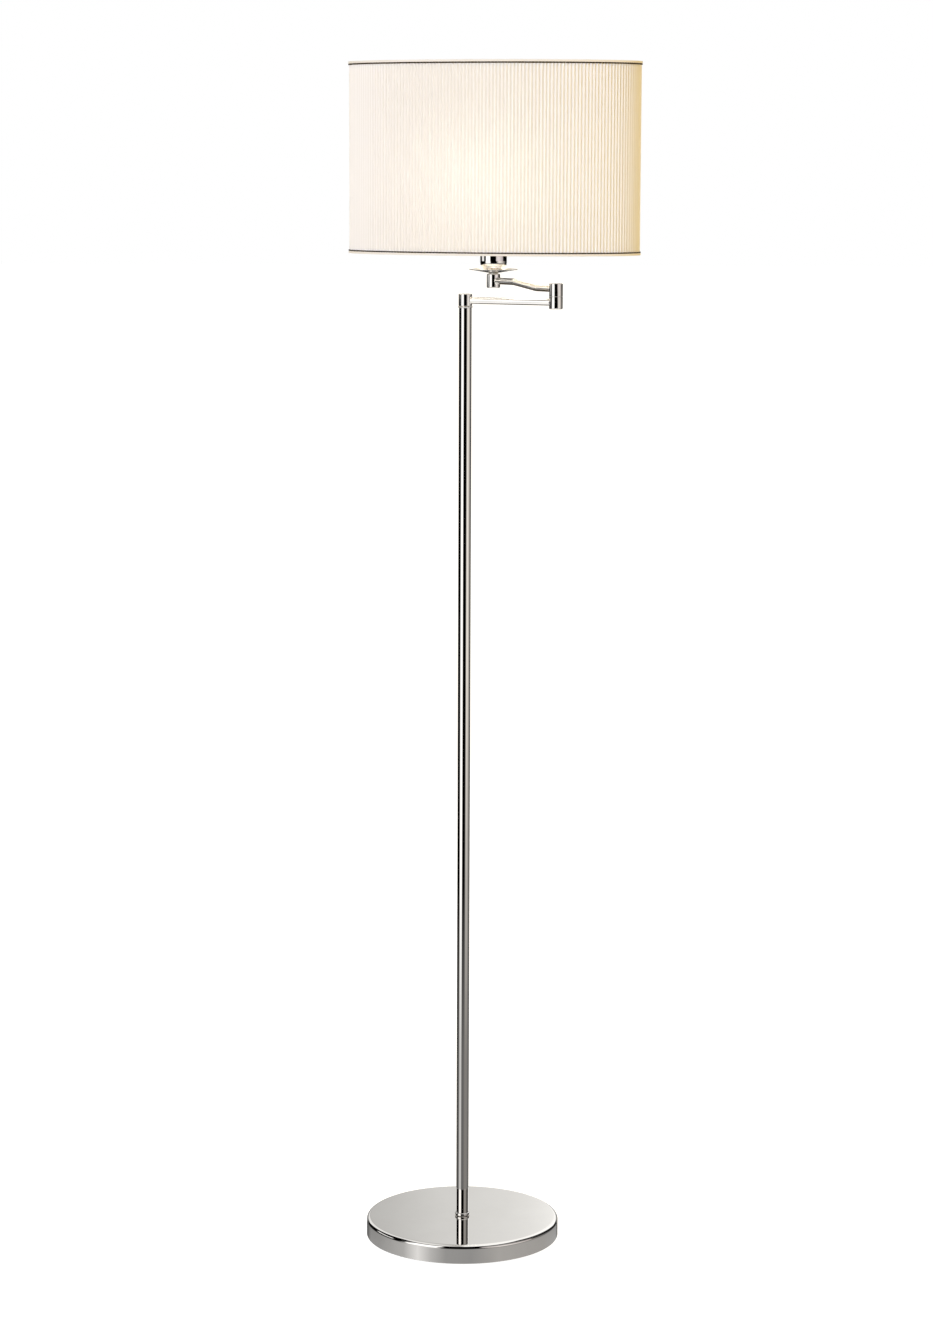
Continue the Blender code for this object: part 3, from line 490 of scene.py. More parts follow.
def stands_for(thing, node):
    """Puts a new piece in the place of the CAD node that it stands for."""
    goes_with(thing, node)
    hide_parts(node)
    return thing


def made_of(name, points, faces, smooth_under=SMOOTH_UNDER):
    """An object from points and faces, shaded smooth up to an angle."""
    mesh = bpy.data.meshes.new(name)
    mesh.from_pydata([tuple(p) for p in points], [], faces)
    mesh.shade_smooth()
    mesh.set_sharp_from_angle(angle=smooth_under)
    return bpy.data.objects.new(name, mesh)


def corner_arc(before, corner, after, radius, steps):
    """Points round a corner: the arc, and one more at each side of it that keeps the flats flat."""
    to_before = (before - corner).normalized()
    to_after = (after - corner).normalized()
    half = to_before.angle(to_after) / 2
    reach = radius / math.tan(half)
    centre = corner + (to_before + to_after).normalized() * radius / math.sin(half)
    start = corner + to_before * reach - centre
    end = corner + to_after * reach - centre
    turn = start.angle(end)
    hold = reach + radius * 0.12
    points = [corner + to_before * hold]
    for i in range(steps + 1):
        share = i / steps
        spread = start * math.sin((1 - share) * turn) + end * math.sin(share * turn)
        points.append(centre + spread / math.sin(turn))
    points.append(corner + to_after * hold)
    return points


def rounded(outline, closed=False, steps=ARC_STEPS):
    """The outline with its (x, y, radius) corners rounded."""
    corners = [Vector(c[:2]) for c in outline]
    radii = [c[2] if len(c) > 2 else 0 for c in outline]
    last = len(corners) - 1
    points = []
    for i, (corner, radius) in enumerate(zip(corners, radii)):
        if radius and (closed or 0 < i < last):
            after = corners[(i + 1) % len(corners)]
            points += corner_arc(corners[i - 1], corner, after, radius, steps)
        else:
            points.append(corner)
    return points


def turned(name, outline, centre, ring=False, sides=SIDES, steps=ARC_STEPS, ripple=0.0, ripples=0):
    """A turned solid about an upright line; its outline runs down the outer side. A ring's is a loop."""
    points, rings, faces = [], [], []
    for radius, height in rounded(outline, ring, steps):
        if radius < 1e-6:
            rings.append([len(points)] * sides)
            points.append((centre.x, centre.y, height))
            continue
        rings.append(range(len(points), len(points) + sides))
        for i in range(sides):
            angle = 2 * math.pi * i / sides
            wide = radius * (1 + ripple * math.cos(ripples * angle))
            x, y = centre.x + wide * math.cos(angle), centre.y + wide * math.sin(angle)
            points.append((x, y, height))
    pairs = list(zip(rings, rings[1:]))
    if ring:
        pairs.append((rings[-1], rings[0]))
    for upper, lower in pairs:
        for i in range(sides):
            j = (i + 1) % sides
            face = [upper[i], lower[i], lower[j], upper[j]]
            faces.append(tuple(dict.fromkeys(face)))
    return made_of(name, points, faces)


def reach(node, centre):
    """The largest distance of a CAD node from an upright line."""
    return max((Vector(v.co[:2]) - centre).length for v in frame["nodes"][node].data.vertices)


def heights(node):
    """A CAD node's lowest and highest heights."""
    low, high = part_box(node)
    return low.z, high.z


def ring_outline(outer, inner, low, high, edge):
    """The outline of a plain ring whose two outer edges are rounded."""
    return [(outer, high, edge), (outer, low, edge), (inner, low), (inner, high)]


# ---- the stand


def base():
    """The base's cover and its pad."""
    low, high = heights("base_cover")
    wide = reach("base_cover", POLE_AXIS)
    inner = wide - COVER_WALL
    cover = [
        (wide, high, COVER_EDGE),
        (wide, low, COVER_LIP),
        (inner, low, COVER_LIP / 2),
        (inner, high - COVER_WALL, COVER_EDGE - COVER_WALL),
        (NIPPLE_HOLE, high - COVER_WALL),
        (NIPPLE_HOLE, high),
    ]
    stands_for(turned("base_cover_skin", cover, POLE_AXIS, True, BASE_SIDES, 12), "base_cover")

    low, high = heights("base_pad")
    wide = reach("base_pad", POLE_AXIS)
    pad = [(0, high), (wide, high, PAD_TOP_EDGE), (wide, low, PAD_BOTTOM_EDGE), (0, low)]
    stands_for(turned("base_pad_skin", pad, POLE_AXIS, sides=BASE_SIDES), "base_pad")


def pole():
    """The pole and the rings at its two ends."""
    wide = reach("pole_tube", POLE_AXIS)
    tube = ring_outline(wide, wide - POLE_WALL, *heights("pole_tube"), POLE_EDGE)
    stands_for(turned("pole_skin", tube, POLE_AXIS, True), "pole_tube")

    outer = reach("foot_collar", POLE_AXIS)
    bead = ring_outline(outer, wide + CAP_GAP, *heights("foot_collar"), COLLAR_EDGE)
    stands_for(turned("foot_collar_bead", bead, POLE_AXIS, True), "foot_collar")

    outer = reach("pole_washer", POLE_AXIS)
    bead = ring_outline(outer, PIVOT_HOLE, *heights("pole_washer"), WASHER_EDGE)
    stands_for(turned("pole_washer_bead", bead, POLE_AXIS, True), "pole_washer")


def cable_bush():
    """The rubber bush at the back of the base, with its soft flange."""
    low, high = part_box("cable_bush")
    centre = (low + high) / 2
    wide = (high.x - low.x) / 2
    length = high.y - low.y
    shoulder = -length + 1.3 * BUSH_FLANGE
    outline = [
        (wide, 0, 0.0007),
        (wide, -BUSH_FLANGE, 0.0003),
        (BUSH_NECK, -BUSH_FLANGE),
        (BUSH_NECK, shoulder),
        (wide, shoulder, 0.0002),
        (BUSH_NECK, -length, 0.0002),
        (BUSH_HOLE, -length),
        (BUSH_HOLE, 0, 0.0004),
    ]
    bush = turned("cable_bush_skin", outline, Vector((0, 0)), True, 48)
    lying = Matrix.Rotation(-math.pi / 2, 4, "X")
    bush.matrix_world = Matrix.Translation((centre.x, high.y, centre.z)) @ lying
    stands_for(bush, "cable_bush")


# ---- the arms


def barrel(node, cap, axis, plate_on_top, top_edge, bottom_edge, taller=0.0, deeper=0.0):
    """A knuckle's barrel with the seat of its cap, and the cap. Its CAD height may grow at each end."""
    low, high = heights(node)
    low, high = low - deeper, high + taller
    wide = reach(node, axis)
    cap_wide = reach(cap, axis)
    chamber = cap_wide + CAP_GAP
    outline = [(wide, high, top_edge), (wide, low, bottom_edge)]
    if plate_on_top:
        outline += [
            (chamber, low), (chamber, high - PLATE), (PIVOT_HOLE, high - PLATE), (PIVOT_HOLE, high),
        ]
    else:
        outline += [
            (PIVOT_HOLE, low), (PIVOT_HOLE, low + PLATE), (chamber, low + PLATE), (chamber, high),
        ]
    stands_for(turned(node + "_skin", outline, axis, True), node)

    low, high = heights(cap)
    edges = (0.0, CAP_EDGE) if plate_on_top else (CAP_EDGE, 0.0)
    disc = [(0, high), (cap_wide, high, edges[0]), (cap_wide, low, edges[1]), (0, low)]
    stands_for(turned(cap + "_skin", disc, axis), cap)


def swept_tube(name, route, across, radius, sides=ROD_SIDES):
    """A solid rod with flat ends along a route that lies in one upright plane."""
    points, faces = [], []
    for i, place in enumerate(route):
        before = route[max(i - 1, 0)]
        after = route[min(i + 1, len(route) - 1)]
        up = across.cross((after - before).normalized()).normalized() * -1
        for j in range(sides):
            angle = 2 * math.pi * j / sides
            points.append(place + (across * math.cos(angle) + up * math.sin(angle)) * radius)
    for i in range(len(route) - 1):
        for j in range(sides):
            k = (j + 1) % sides
            faces.append((i * sides + j, i * sides + k, (i + 1) * sides + k, (i + 1) * sides + j))
    faces.append(tuple(range(sides))[::-1])
    faces.append(tuple(range((len(route) - 1) * sides, len(route) * sides)))
    return made_of(name, points, faces)


def braze(name, axis, direction, height, barrel_radius, tube_radius, node):
    """The fillet where a tube runs into a barrel, all round the tube."""
    across = Vector((-direction.y, direction.x, 0))
    forward = Vector((direction.x, direction.y, 0))
    steps, sides = 5, 64
    points, faces = [], []
    for i in range(sides):
        angle = 2 * math.pi * i / sides
        side, rise = math.cos(angle), math.sin(angle)
        for k in range(steps + 1):
            share = k / steps * math.pi / 2
            grown = tube_radius + BRAZE * (1 - math.sin(share)) - BRAZE_SINK
            out = math.sqrt(barrel_radius**2 - (grown * side) ** 2)
            out += BRAZE * (1 - math.cos(share)) - BRAZE_SINK
            place = forward * out + across * grown * side
            points.append((axis.x + place.x, axis.y + place.y, height + grown * rise))
    row = steps + 1
    for i in range(sides):
        j = (i + 1) % sides
        for k in range(steps):
            faces.append((i * row + k, j * row + k, j * row + k + 1, i * row + k + 1))
    goes_with(made_of(name, points, faces), node)


def elbow_washer():
    """The thin washer that shows as the dark line between the elbow's two barrels."""
    low, high = heights("elbow_washer")
    low, high = low + SEAM_CLOSER / 2, high - SEAM_CLOSER / 2
    wide = reach("elbow_lower_knuckle", ELBOW_AXIS) - SEAM_DEPTH
    ring = ring_outline(wide, PIVOT_HOLE, low, high, SEAM_WASHER_EDGE)
    stands_for(turned("elbow_washer_skin", ring, ELBOW_AXIS, True), "elbow_washer")


def lower_arm():
    """Barrels at the pole and at the elbow's lower half, and the straight tube between them."""
    barrel("pole_knuckle", "pole_knuckle_cap", POLE_AXIS, False, BARREL_CRISP, BARREL_CRISP)
    elbow = ("elbow_lower_knuckle", "elbow_bottom_cap", ELBOW_AXIS, True)
    barrel(*elbow, BARREL_SEAM, BARREL_SOFT, taller=SEAM_CLOSER)
    elbow_washer()
    low, high = heights("lower_arm_tube")
    radius = (high - low) / 2
    height = (high + low) / 2
    along = (ELBOW_AXIS - POLE_AXIS).normalized()
    length = (ELBOW_AXIS - POLE_AXIS).length
    forward = Vector((along.x, along.y, 0))
    across = Vector((-along.y, along.x, 0))
    start = Vector((POLE_AXIS.x, POLE_AXIS.y, height))
    route = [start + forward * TUBE_END, start + forward * (length - TUBE_END)]
    stands_for(swept_tube("lower_arm_skin", route, across, radius), "lower_arm_tube")
    wide = reach("pole_knuckle", POLE_AXIS)
    braze("lower_arm_braze_1", POLE_AXIS, along, height, wide, radius, "lower_arm_tube")
    braze("lower_arm_braze_2", ELBOW_AXIS, -along, height, wide, radius, "lower_arm_tube")


def upper_arm():
    """Barrels at the elbow's upper half and under the head, and the S-bent tube between them."""
    elbow = ("elbow_upper_knuckle", "elbow_top_cap", ELBOW_AXIS, False)
    barrel(*elbow, BARREL_CRISP, BARREL_SEAM, deeper=SEAM_CLOSER)
    barrel("head_knuckle", "head_bottom_cap", HEAD_AXIS, True, BARREL_SOFT, BARREL_SOFT)
    low, high = heights("lower_arm_tube")
    radius = (high - low) / 2
    low, high = heights("upper_arm_tube")
    along = (HEAD_AXIS - ELBOW_AXIS).normalized()
    length = (HEAD_AXIS - ELBOW_AXIS).length
    corners = [
        (TUBE_END, low + radius),
        (length * BEND_START, low + radius, ELBOW_SIDE_BEND),
        (length * BEND_END, high - radius, HEAD_SIDE_BEND),
        (length - TUBE_END, high - radius),
    ]
    across = Vector((-along.y, along.x, 0))
    route = []
    for distance, height in rounded(corners, steps=14):
        x, y = ELBOW_AXIS.x + along.x * distance, ELBOW_AXIS.y + along.y * distance
        route.append(Vector((x, y, height)))
    stands_for(swept_tube("upper_arm_skin", route, across, radius), "upper_arm_tube")
    wide = reach("head_knuckle", HEAD_AXIS)
    braze("upper_arm_braze_1", ELBOW_AXIS, along, low + radius, wide, radius, "upper_arm_tube")
    braze("upper_arm_braze_2", HEAD_AXIS, -along, high - radius, wide, radius, "upper_arm_tube")


# ---- the head


def saucer():
    """The thin dish under the lampholder."""
    low, high = heights("saucer")
    wide = reach("saucer", HEAD_AXIS)
    high -= SAUCER_DROP
    dish = [
        (wide, high, SHEET_EDGE),
        (wide, high - SHEET, SHEET_EDGE),
        (SAUCER_FLAT, low, SAUCER_BEND),
        (PIVOT_HOLE, low),
        (PIVOT_HOLE, low + SHEET),
        (SAUCER_FLAT, low + SHEET, SAUCER_BEND),
    ]
    stands_for(turned("saucer_skin", dish, HEAD_AXIS, True, 160), "saucer")


def socket_cup():
    """The round-bottomed cup over the lampholder."""
    low, high = heights("socket_cup")
    wide = reach("socket_cup", HEAD_AXIS)
    cup = [
        (wide, high, CUP_RIM),
        (wide, low, CUP_ROUND),
        (PIVOT_HOLE, low),
        (PIVOT_HOLE, low + SHEET),
        (wide - SHEET, low + SHEET, CUP_ROUND - SHEET),
        (wide - SHEET, high, CUP_RIM),
    ]
    stands_for(turned("socket_cup_skin", cup, HEAD_AXIS, True, 128, 14), "socket_cup")


def lampholder():
    """The holder's flange and threaded collar."""
    low, high = heights("lampholder_body")
    flange_radius = reach("lampholder_body", HEAD_AXIS)
    flange_low = heights("socket_cup")[1] + CAP_GAP
    flange_high = flange_low + FLANGE_HEIGHT
    outline = [(HOLDER_BORE, high), (SCREW_ROOT, high)]
    for i in range(int((high - flange_high) / SCREW_PITCH)):
        top = high - SCREW_PITCH * i
        outline += [
            (SCREW_CREST, top - SCREW_PITCH * 0.35),
            (SCREW_CREST, top - SCREW_PITCH * 0.6),
            (SCREW_ROOT, top - SCREW_PITCH * 0.95),
        ]
    outline += [
        (SCREW_ROOT, flange_high),
        (flange_radius, flange_high, FLANGE_EDGE),
        (flange_radius, flange_low, FLANGE_EDGE),
        (HOLDER_RADIUS, flange_low),
        (HOLDER_RADIUS, low),
        (HOLDER_BORE, low),
    ]
    stands_for(turned("lampholder_collar", outline, HEAD_AXIS, True), "lampholder_body")


def ring_nut():
    """The shade's ring nut, with its grips."""
    wide = reach("shade_ring_nut", HEAD_AXIS) * NUT_SHARE
    nut = ring_outline(wide, SCREW_CREST + CAP_GAP, *heights("shade_ring_nut"), NUT_EDGE)
    made = turned("shade_ring_nut_skin", nut, HEAD_AXIS, True, 192, ripple=0.014, ripples=32)
    stands_for(made, "shade_ring_nut")


def bulb():
    """The lit bulb's glass: a ball that runs into the neck. It doesn't shade the light inside it."""
    low, high = heights("bulb_glass")
    ball = reach("bulb_glass", HEAD_AXIS)
    centre = high - ball
    outline = []
    for i in range(BULB_POINTS):
        angle = BULB_CUT * i / (BULB_POINTS - 1)
        outline.append((ball * math.sin(angle), centre + ball * math.cos(angle)))
    edge, height = outline[-1]
    elbow = height - (edge - BULB_NECK) / math.tan(BULB_CUT - math.pi / 2)
    outline += [(BULB_NECK, elbow, BULB_NECK_BEND), (BULB_NECK, low), (0, low)]
    glass = turned("bulb_glass_skin", outline, HEAD_AXIS, steps=12)
    stands_for(glass, "bulb_glass").visible_shadow = False


# ---- the shade


def oval_sizes():
    """The half length and half width of the shade's outside, from the box of its turned oval."""
    low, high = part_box("shade_top_binding")
    across, deep = (high.x - low.x) / 2, (high.y - low.y) / 2
    total = across**2 + deep**2
    difference = (across**2 - deep**2) / math.cos(2 * SHADE_TURN)
    return math.sqrt((total + difference) / 2), math.sqrt((total - difference) / 2)


HALF_LENGTH, HALF_WIDTH = oval_sizes()
SHADE_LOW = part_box("shade_bottom_binding")[0].z - BOTTOM_DROP
SHADE_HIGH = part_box("shade_top_binding")[1].z - TOP_DROP


def oval_frame(turn):
    """The point of the oval's outside at a turn of its formula, and the outward direction there."""
    place = Vector((HALF_LENGTH * math.cos(turn), HALF_WIDTH * math.sin(turn)))
    outward = Vector((math.cos(turn) / HALF_LENGTH, math.sin(turn) / HALF_WIDTH)).normalized()
    spin = Matrix.Rotation(SHADE_TURN, 2)
    return HEAD_AXIS + spin @ place, spin @ outward


def oval_table():
    """The distance round the oval at each of its fine steps."""
    sums = [0.0]
    for i in range(OVAL_FINE):
        start, _ = oval_frame(2 * math.pi * i / OVAL_FINE)
        end, _ = oval_frame(2 * math.pi * (i + 1) / OVAL_FINE)
        sums.append(sums[-1] + (end - start).length)
    return sums


OVAL_SUMS = oval_table()
OVAL_LENGTH = OVAL_SUMS[-1]


def at_distance(distance):
    """The point and outward direction at a distance round the oval."""
    distance %= OVAL_LENGTH
    low, high = 0, OVAL_FINE
    while high - low > 1:
        middle = (low + high) // 2
        if OVAL_SUMS[middle] <= distance:
            low = middle
        else:
            high = middle
    share = (distance - OVAL_SUMS[low]) / (OVAL_SUMS[high] - OVAL_SUMS[low])
    return oval_frame(2 * math.pi * (low + share) / OVAL_FINE)


def band(name, sections, closed=True):
    """A sheet or band round the shade, from sections of (distance round, [(inset, height), ...])."""
    points, faces, places = [], [], []
    count = len(sections[0][1])
    for distance, section in sections:
        place, outward = at_distance(distance)
        run = 0.0
        for i, (inset, height) in enumerate(section):
            spot = place - outward * inset
            points.append((spot.x, spot.y, height))
            if i:
                run += math.hypot(inset - section[i - 1][0], height - section[i - 1][1])
            places.append((distance, run))
    rows = len(sections)
    for i in range(rows):
        j = (i + 1) % rows
        for k in range(count if closed else count - 1):
            m = (k + 1) % count
            faces.append((i * count + k, j * count + k, j * count + m, i * count + m))
    thing = made_of(name, points, faces, BAND_SMOOTH_UNDER)
    cloth = thing.data.uv_layers.new(name="cloth")
    for loop in thing.data.loops:
        cloth.data[loop.index].uv = places[loop.vertex_index]
    return thing


def even_band(name, section):
    """A band with the same section all round."""
    return band(name, [(OVAL_LENGTH * i / OVAL_POINTS, section) for i in range(OVAL_POINTS)])


def pleated_cover():
    """The pleated cloth: one open sheet round the oval, each pleat a little unlike the next."""
    chance = random.Random(7)
    bottom = SHADE_LOW + TAPE + CLOTH_GAP
    top = SHADE_HIGH - TAPE - CLOTH_GAP
    middle = (RIDGE_INSET + VALLEY_INSET) / 2
    depth = (VALLEY_INSET - RIDGE_INSET) / 2
    pitch = OVAL_LENGTH / PLEATS
    starts = [pitch * (i + chance.uniform(-PLEAT_SHIFT, PLEAT_SHIFT)) for i in range(PLEATS)]
    starts.append(starts[0] + OVAL_LENGTH)
    depths = [depth * chance.uniform(PLEAT_SHALLOW, 1.0) for _ in range(PLEATS)]
    waves = [(chance.uniform(0, 2 * math.pi), chance.uniform(0.6, 1.4)) for _ in range(PLEATS)]
    sections = []
    for i, (phase, pace) in enumerate(waves):
        for k in range(PLEAT_POINTS):
            share = k / PLEAT_POINTS
            fold = 2 / math.pi * math.asin(PLEAT_POINTED * math.cos(2 * math.pi * share))
            column = []
            for row in range(PLEAT_ROWS):
                up = row / (PLEAT_ROWS - 1)
                soft = 1 + PLEAT_WAVE * math.sin(phase + pace * 2 * math.pi * up)
                column.append((middle - depths[i] * fold * soft, bottom + (top - bottom) * up))
            sections.append((starts[i] + (starts[i + 1] - starts[i]) * share, column))
    cloth = band("shade_pleated_cover", sections, closed=False)
    # The cloth's material paints shade into the valleys from this attribute.
    out = cloth.data.attributes.new("fold", "FLOAT", "POINT")  # 1 on a ridge, -1 in a valley
    for i in range(len(sections) * PLEAT_ROWS):
        out.data[i].value = math.cos(2 * math.pi * (i // PLEAT_ROWS) / PLEAT_POINTS)
    return stands_for(cloth, "shade_fabric")


def liner():
    """The stiff translucent liner. It doesn't shade the cloth from the bulb."""
    bottom = SHADE_LOW + TAPE + LINER_GAP
    top = SHADE_HIGH - TAPE - LINER_GAP
    section = [(LINER_IN, bottom)]
    for i in range(LINER_ROWS):
        section.append((LINER_OUT, bottom + (top - bottom) * i / (LINER_ROWS - 1)))
    section.append((LINER_IN, top))
    sheet = even_band("shade_liner_sheet", section)
    sheet.visible_shadow = False
    stands_for(sheet, "shade_liner")


def tape_section(edge, inward):
    """The folded tape's section over one of the shade's rims; inward is 1 for up, -1 for down."""
    corners = [
        (TAPE_DEPTH, edge, TAPE_FOLD),
        (0, edge, TAPE_FOLD),
        (0, edge + inward * TAPE_HEIGHT, TAPE_EDGE),
        (TAPE, edge + inward * TAPE_HEIGHT, TAPE_EDGE),
        (TAPE, edge + inward * TAPE),
        (TAPE_DEPTH - TAPE, edge + inward * TAPE),
        (TAPE_DEPTH - TAPE, edge + inward * TAPE_HEIGHT, TAPE_EDGE),
        (TAPE_DEPTH, edge + inward * TAPE_HEIGHT, TAPE_EDGE),
    ]
    points = [tuple(p) for p in rounded(corners, True, 4)]
    return points if inward > 0 else points[::-1]


def tapes():
    """The cream tapes folded over the two rims."""
    made = []
    for name, node, edge, inward in (
        ("shade_bottom_tape", "shade_bottom_binding", SHADE_LOW, 1),
        ("shade_top_tape", "shade_top_binding", SHADE_HIGH, -1),
    ):
        made.append(stands_for(even_band(name, tape_section(edge, inward)), node))
    return made


def cord_section(lay, height):
    """A cord's section where its two strands have turned by an angle."""
    section = []
    for k in range(CORD_SIDES):
        angle = 2 * math.pi * k / CORD_SIDES
        radius = CORD_RADIUS * (0.88 + 0.12 * math.cos(2 * angle - lay))
        inset = CORD_INSET + CORD_RADIUS - radius * math.cos(angle)
        section.append((inset, height + radius * math.sin(angle)))
    return section[::-1]


def cords():
    """The dark cords beside the tapes, each of two strands twisted together."""
    made = []
    twists = round(OVAL_LENGTH / CORD_TWIST)
    for name, node, height in (
        ("shade_bottom_cord", "shade_bottom_piping", SHADE_LOW + CORD_FROM_EDGE),
        ("shade_top_cord", "shade_top_piping", SHADE_HIGH - CORD_FROM_EDGE),
    ):
        sections = []
        for i in range(CORD_POINTS):
            lay = 2 * math.pi * twists * i / CORD_POINTS
            sections.append((OVAL_LENGTH * i / CORD_POINTS, cord_section(lay, height)))
        made.append(stands_for(band(name, sections), node))
    return made


def ring_wire(name, height):
    """A round wire bent to the oval."""
    section = []
    for k in range(WIRE_SIDES):
        angle = -2 * math.pi * k / WIRE_SIDES
        inset = WIRE_INSET - WIRE_RADIUS * math.cos(angle)
        section.append((inset, height + WIRE_RADIUS * math.sin(angle)))
    return even_band(name, section)


def carrier():
    """The fitter ring on the lampholder, its four spokes and the two oval wires."""
    high = heights("shade_ring_nut")[0] - CAP_GAP
    low = high - FITTER_HEIGHT
    fitter = [
        (FITTER_RADIUS, high, 0.0006),
        (FITTER_RADIUS, low, 0.0006),
        (FITTER_BORE, low, 0.0003),
        (FITTER_BORE, high, 0.0003),
    ]
    stands_for(turned("shade_fitter_ring", fitter, HEAD_AXIS, True), "shade_carrier")
    wire_low = SHADE_LOW + WIRE_FROM_EDGE
    goes_with(ring_wire("shade_bottom_wire", wire_low), "shade_carrier")
    stands_for(ring_wire("shade_top_wire", SHADE_HIGH - WIRE_FROM_EDGE), "shade_top_ring")
    level = (low + high) / 2
    for i, far in enumerate((HALF_LENGTH, HALF_WIDTH, HALF_LENGTH, HALF_WIDTH)):
        angle = SHADE_TURN + i * math.pi / 2
        forward = Vector((math.cos(angle), math.sin(angle), 0))
        across = Vector((-forward.y, forward.x, 0))
        corners = [
            (SPOKE_START, level), (SPOKE_BEND_AT, level, SPOKE_BEND), (far - WIRE_INSET, wire_low),
        ]
        route = []
        for distance, height in rounded(corners):
            route.append(Vector((HEAD_AXIS.x, HEAD_AXIS.y, height)) + forward * distance)
        spoke = swept_tube(f"shade_spoke_{i + 1}", route, across, SPOKE_RADIUS, 16)
        goes_with(spoke, "shade_carrier")


# ---- the studio


def camera():
    """The camera, at the height of the shade and tilted down."""
    data = bpy.data.cameras.new("camera")
    data.lens = CAMERA_LENS
    data.sensor_width = SENSOR
    thing = placed("camera", data)
    thing.matrix_world = (
        Matrix.Translation(CAMERA_PLACE)
        @ Matrix.Rotation(math.pi / 2 - CAMERA_DOWN, 4, "X")
        @ Matrix.Rotation(CAMERA_ROLL, 4, "Z")
    )
    bpy.context.scene.camera = thing


def floor():
    """A plain pale floor, lit evenly so that it runs into the white behind it."""
    mesh = bpy.data.meshes.new("floor")
    half = FLOOR_HALF
    corners = [(-half, -half, 0), (half, -half, 0), (half, half, 0), (-half, half, 0)]
    mesh.from_pydata(corners, [], [(0, 1, 2, 3)])
    thing = placed("floor", mesh)
    thing.location.z = -FLOOR_DROP
    made, tree, surface, place = material("pale_floor", 0.9)
    speck = noise(tree, place, 3.0, 2.0)
    feed(tree, surface, mixed(tree, speck, (0.42, 0.42, 0.42), (0.44, 0.44, 0.44)))
    surface.inputs["Specular IOR Level"].default_value = 0.0
    surface.inputs["Emission Color"].default_value = WHITE
    surface.inputs["Emission Strength"].default_value = 0.93
    mesh.materials.append(made)
    thing.visible_glossy = False
    thing.visible_diffuse = False


def by_azimuth(tree, turn, stops):
    """A grey or a colour by azimuth, in degrees from the side the camera stands at, + to the right."""
    ramp = add(tree, "ShaderNodeValToRGB", {0: turn})
    elements = ramp.color_ramp.elements
    while len(elements) > 1:
        elements.remove(elements[-1])
    for i, (degrees, tone) in enumerate(stops):
        position = degrees / 360 + 0.5
        element = elements[0] if i == 0 else elements.new(position)
        element.position = position
        colour = tone if isinstance(tone, tuple) else (tone, tone, tone)
        element.color = (*colour, 1)
    return ramp.outputs[0]


def above(tree, rise, start, end, lower, upper, smooth=False):
    """Two colours, the second taking over as a rise goes from start to end, in degrees."""
    return mixed(tree, ranged(tree, rise, start, end, 0.0, 1.0, smooth), lower, upper)


def pole_walls(tree, turn):
    """What the pole and its knuckle mirror: a white panel at the left, a warm one at the right."""
    warm = (1.0, 0.96, 0.91)
    stops = (
        (-180, 0.30), (-155, 0.30), (-148, 0.0), (-80, 0.0), (-72, 0.6), (-67, 1.3), (-30, 1.3),
        (-24, 0.0), (26, 0.0), (34, (0.50, 0.48, 0.45)), (46, warm), (56, warm),
        (74, (0.78, 0.74, 0.69)), (97, (0.36, 0.33, 0.31)), (115, 0.13), (128, 0.02), (148, 0.02),
        (155, 0.30), (180, 0.30),
    )
    return by_azimuth(tree, turn, stops)


def cup_walls(tree, turn):
    """The walls a little higher, as the cup mirrors them, with a further white strip at the left."""
    pink = (0.93, 0.86, 0.87)
    stops = (
        (-180, 0.30), (-155, 0.30), (-148, 0.0), (-121, 0.0), (-116, 1.0), (-91, 1.0), (-88, 0.0),
        (-71, 0.0), (-68, 1.5), (-31, 1.5), (-28, 0.0), (20, 0.0), (24, (0.80, 0.73, 0.74)),
        (45, pink), (70, (0.72, 0.66, 0.67)), (87, (0.52, 0.46, 0.47)), (92, 0.0), (148, 0.0),
        (155, 0.30), (180, 0.30),
    )
    return by_azimuth(tree, turn, stops)


def high_walls(tree, turn):
    """The walls higher up, which the base's polished top and the foot of the pole mirror."""
    stops = (
        (-180, 1.1), (-155, 1.1), (-148, 0.0), (-78, 0.0), (-68, 0.5), (-62, 1.5), (-27, 1.5),
        (-22, 0.0), (23, 0.0), (31, (0.37, 0.36, 0.35)), (55, (0.38, 0.37, 0.36)),
        (75, (0.28, 0.27, 0.26)), (92, 0.07), (132, 0.02), (148, 0.02), (155, 1.1), (180, 1.1),
    )
    return by_azimuth(tree, turn, stops)


def floor_far(tree, turn):
    """The floor some way off, which the foot of the pole mirrors."""
    stops = (
        (-180, 0.05), (-150, 0.07), (-110, 0.085), (-85, 0.12), (-70, 0.40), (-62, 0.66),
        (-36, 0.68), (-24, 0.25), (-17, 0.145), (5, 0.15), (16, 0.17), (33, (0.25, 0.24, 0.23)),
        (55, (0.26, 0.25, 0.24)), (75, (0.25, 0.24, 0.235)), (98, 0.19), (132, 0.14),
        (150, 0.09), (180, 0.05),
    )
    return by_azimuth(tree, turn, stops)


def floor_near(tree, turn):
    """The floor close by, which the side of the base mirrors."""
    stops = (
        (-180, 0.08), (-165, 0.10), (-145, 0.34), (-120, 0.36), (-75, 0.50), (-55, 0.88), (-38, 0.55),
        (-20, 0.36), (10, 0.33), (45, (0.45, 0.44, 0.43)), (110, (0.41, 0.40, 0.39)), (155, 0.42),
        (170, 0.10), (180, 0.08),
    )
    return by_azimuth(tree, turn, stops)


def floor_below(tree, turn):
    """The floor straight below: lit in front of the lamp and dark behind it."""
    dark = (0.075, 0.062, 0.050)
    stops = ((-180, dark), (-118, dark), (-106, 1.15), (104, 1.15), (116, dark), (180, dark))
    return by_azimuth(tree, turn, stops)


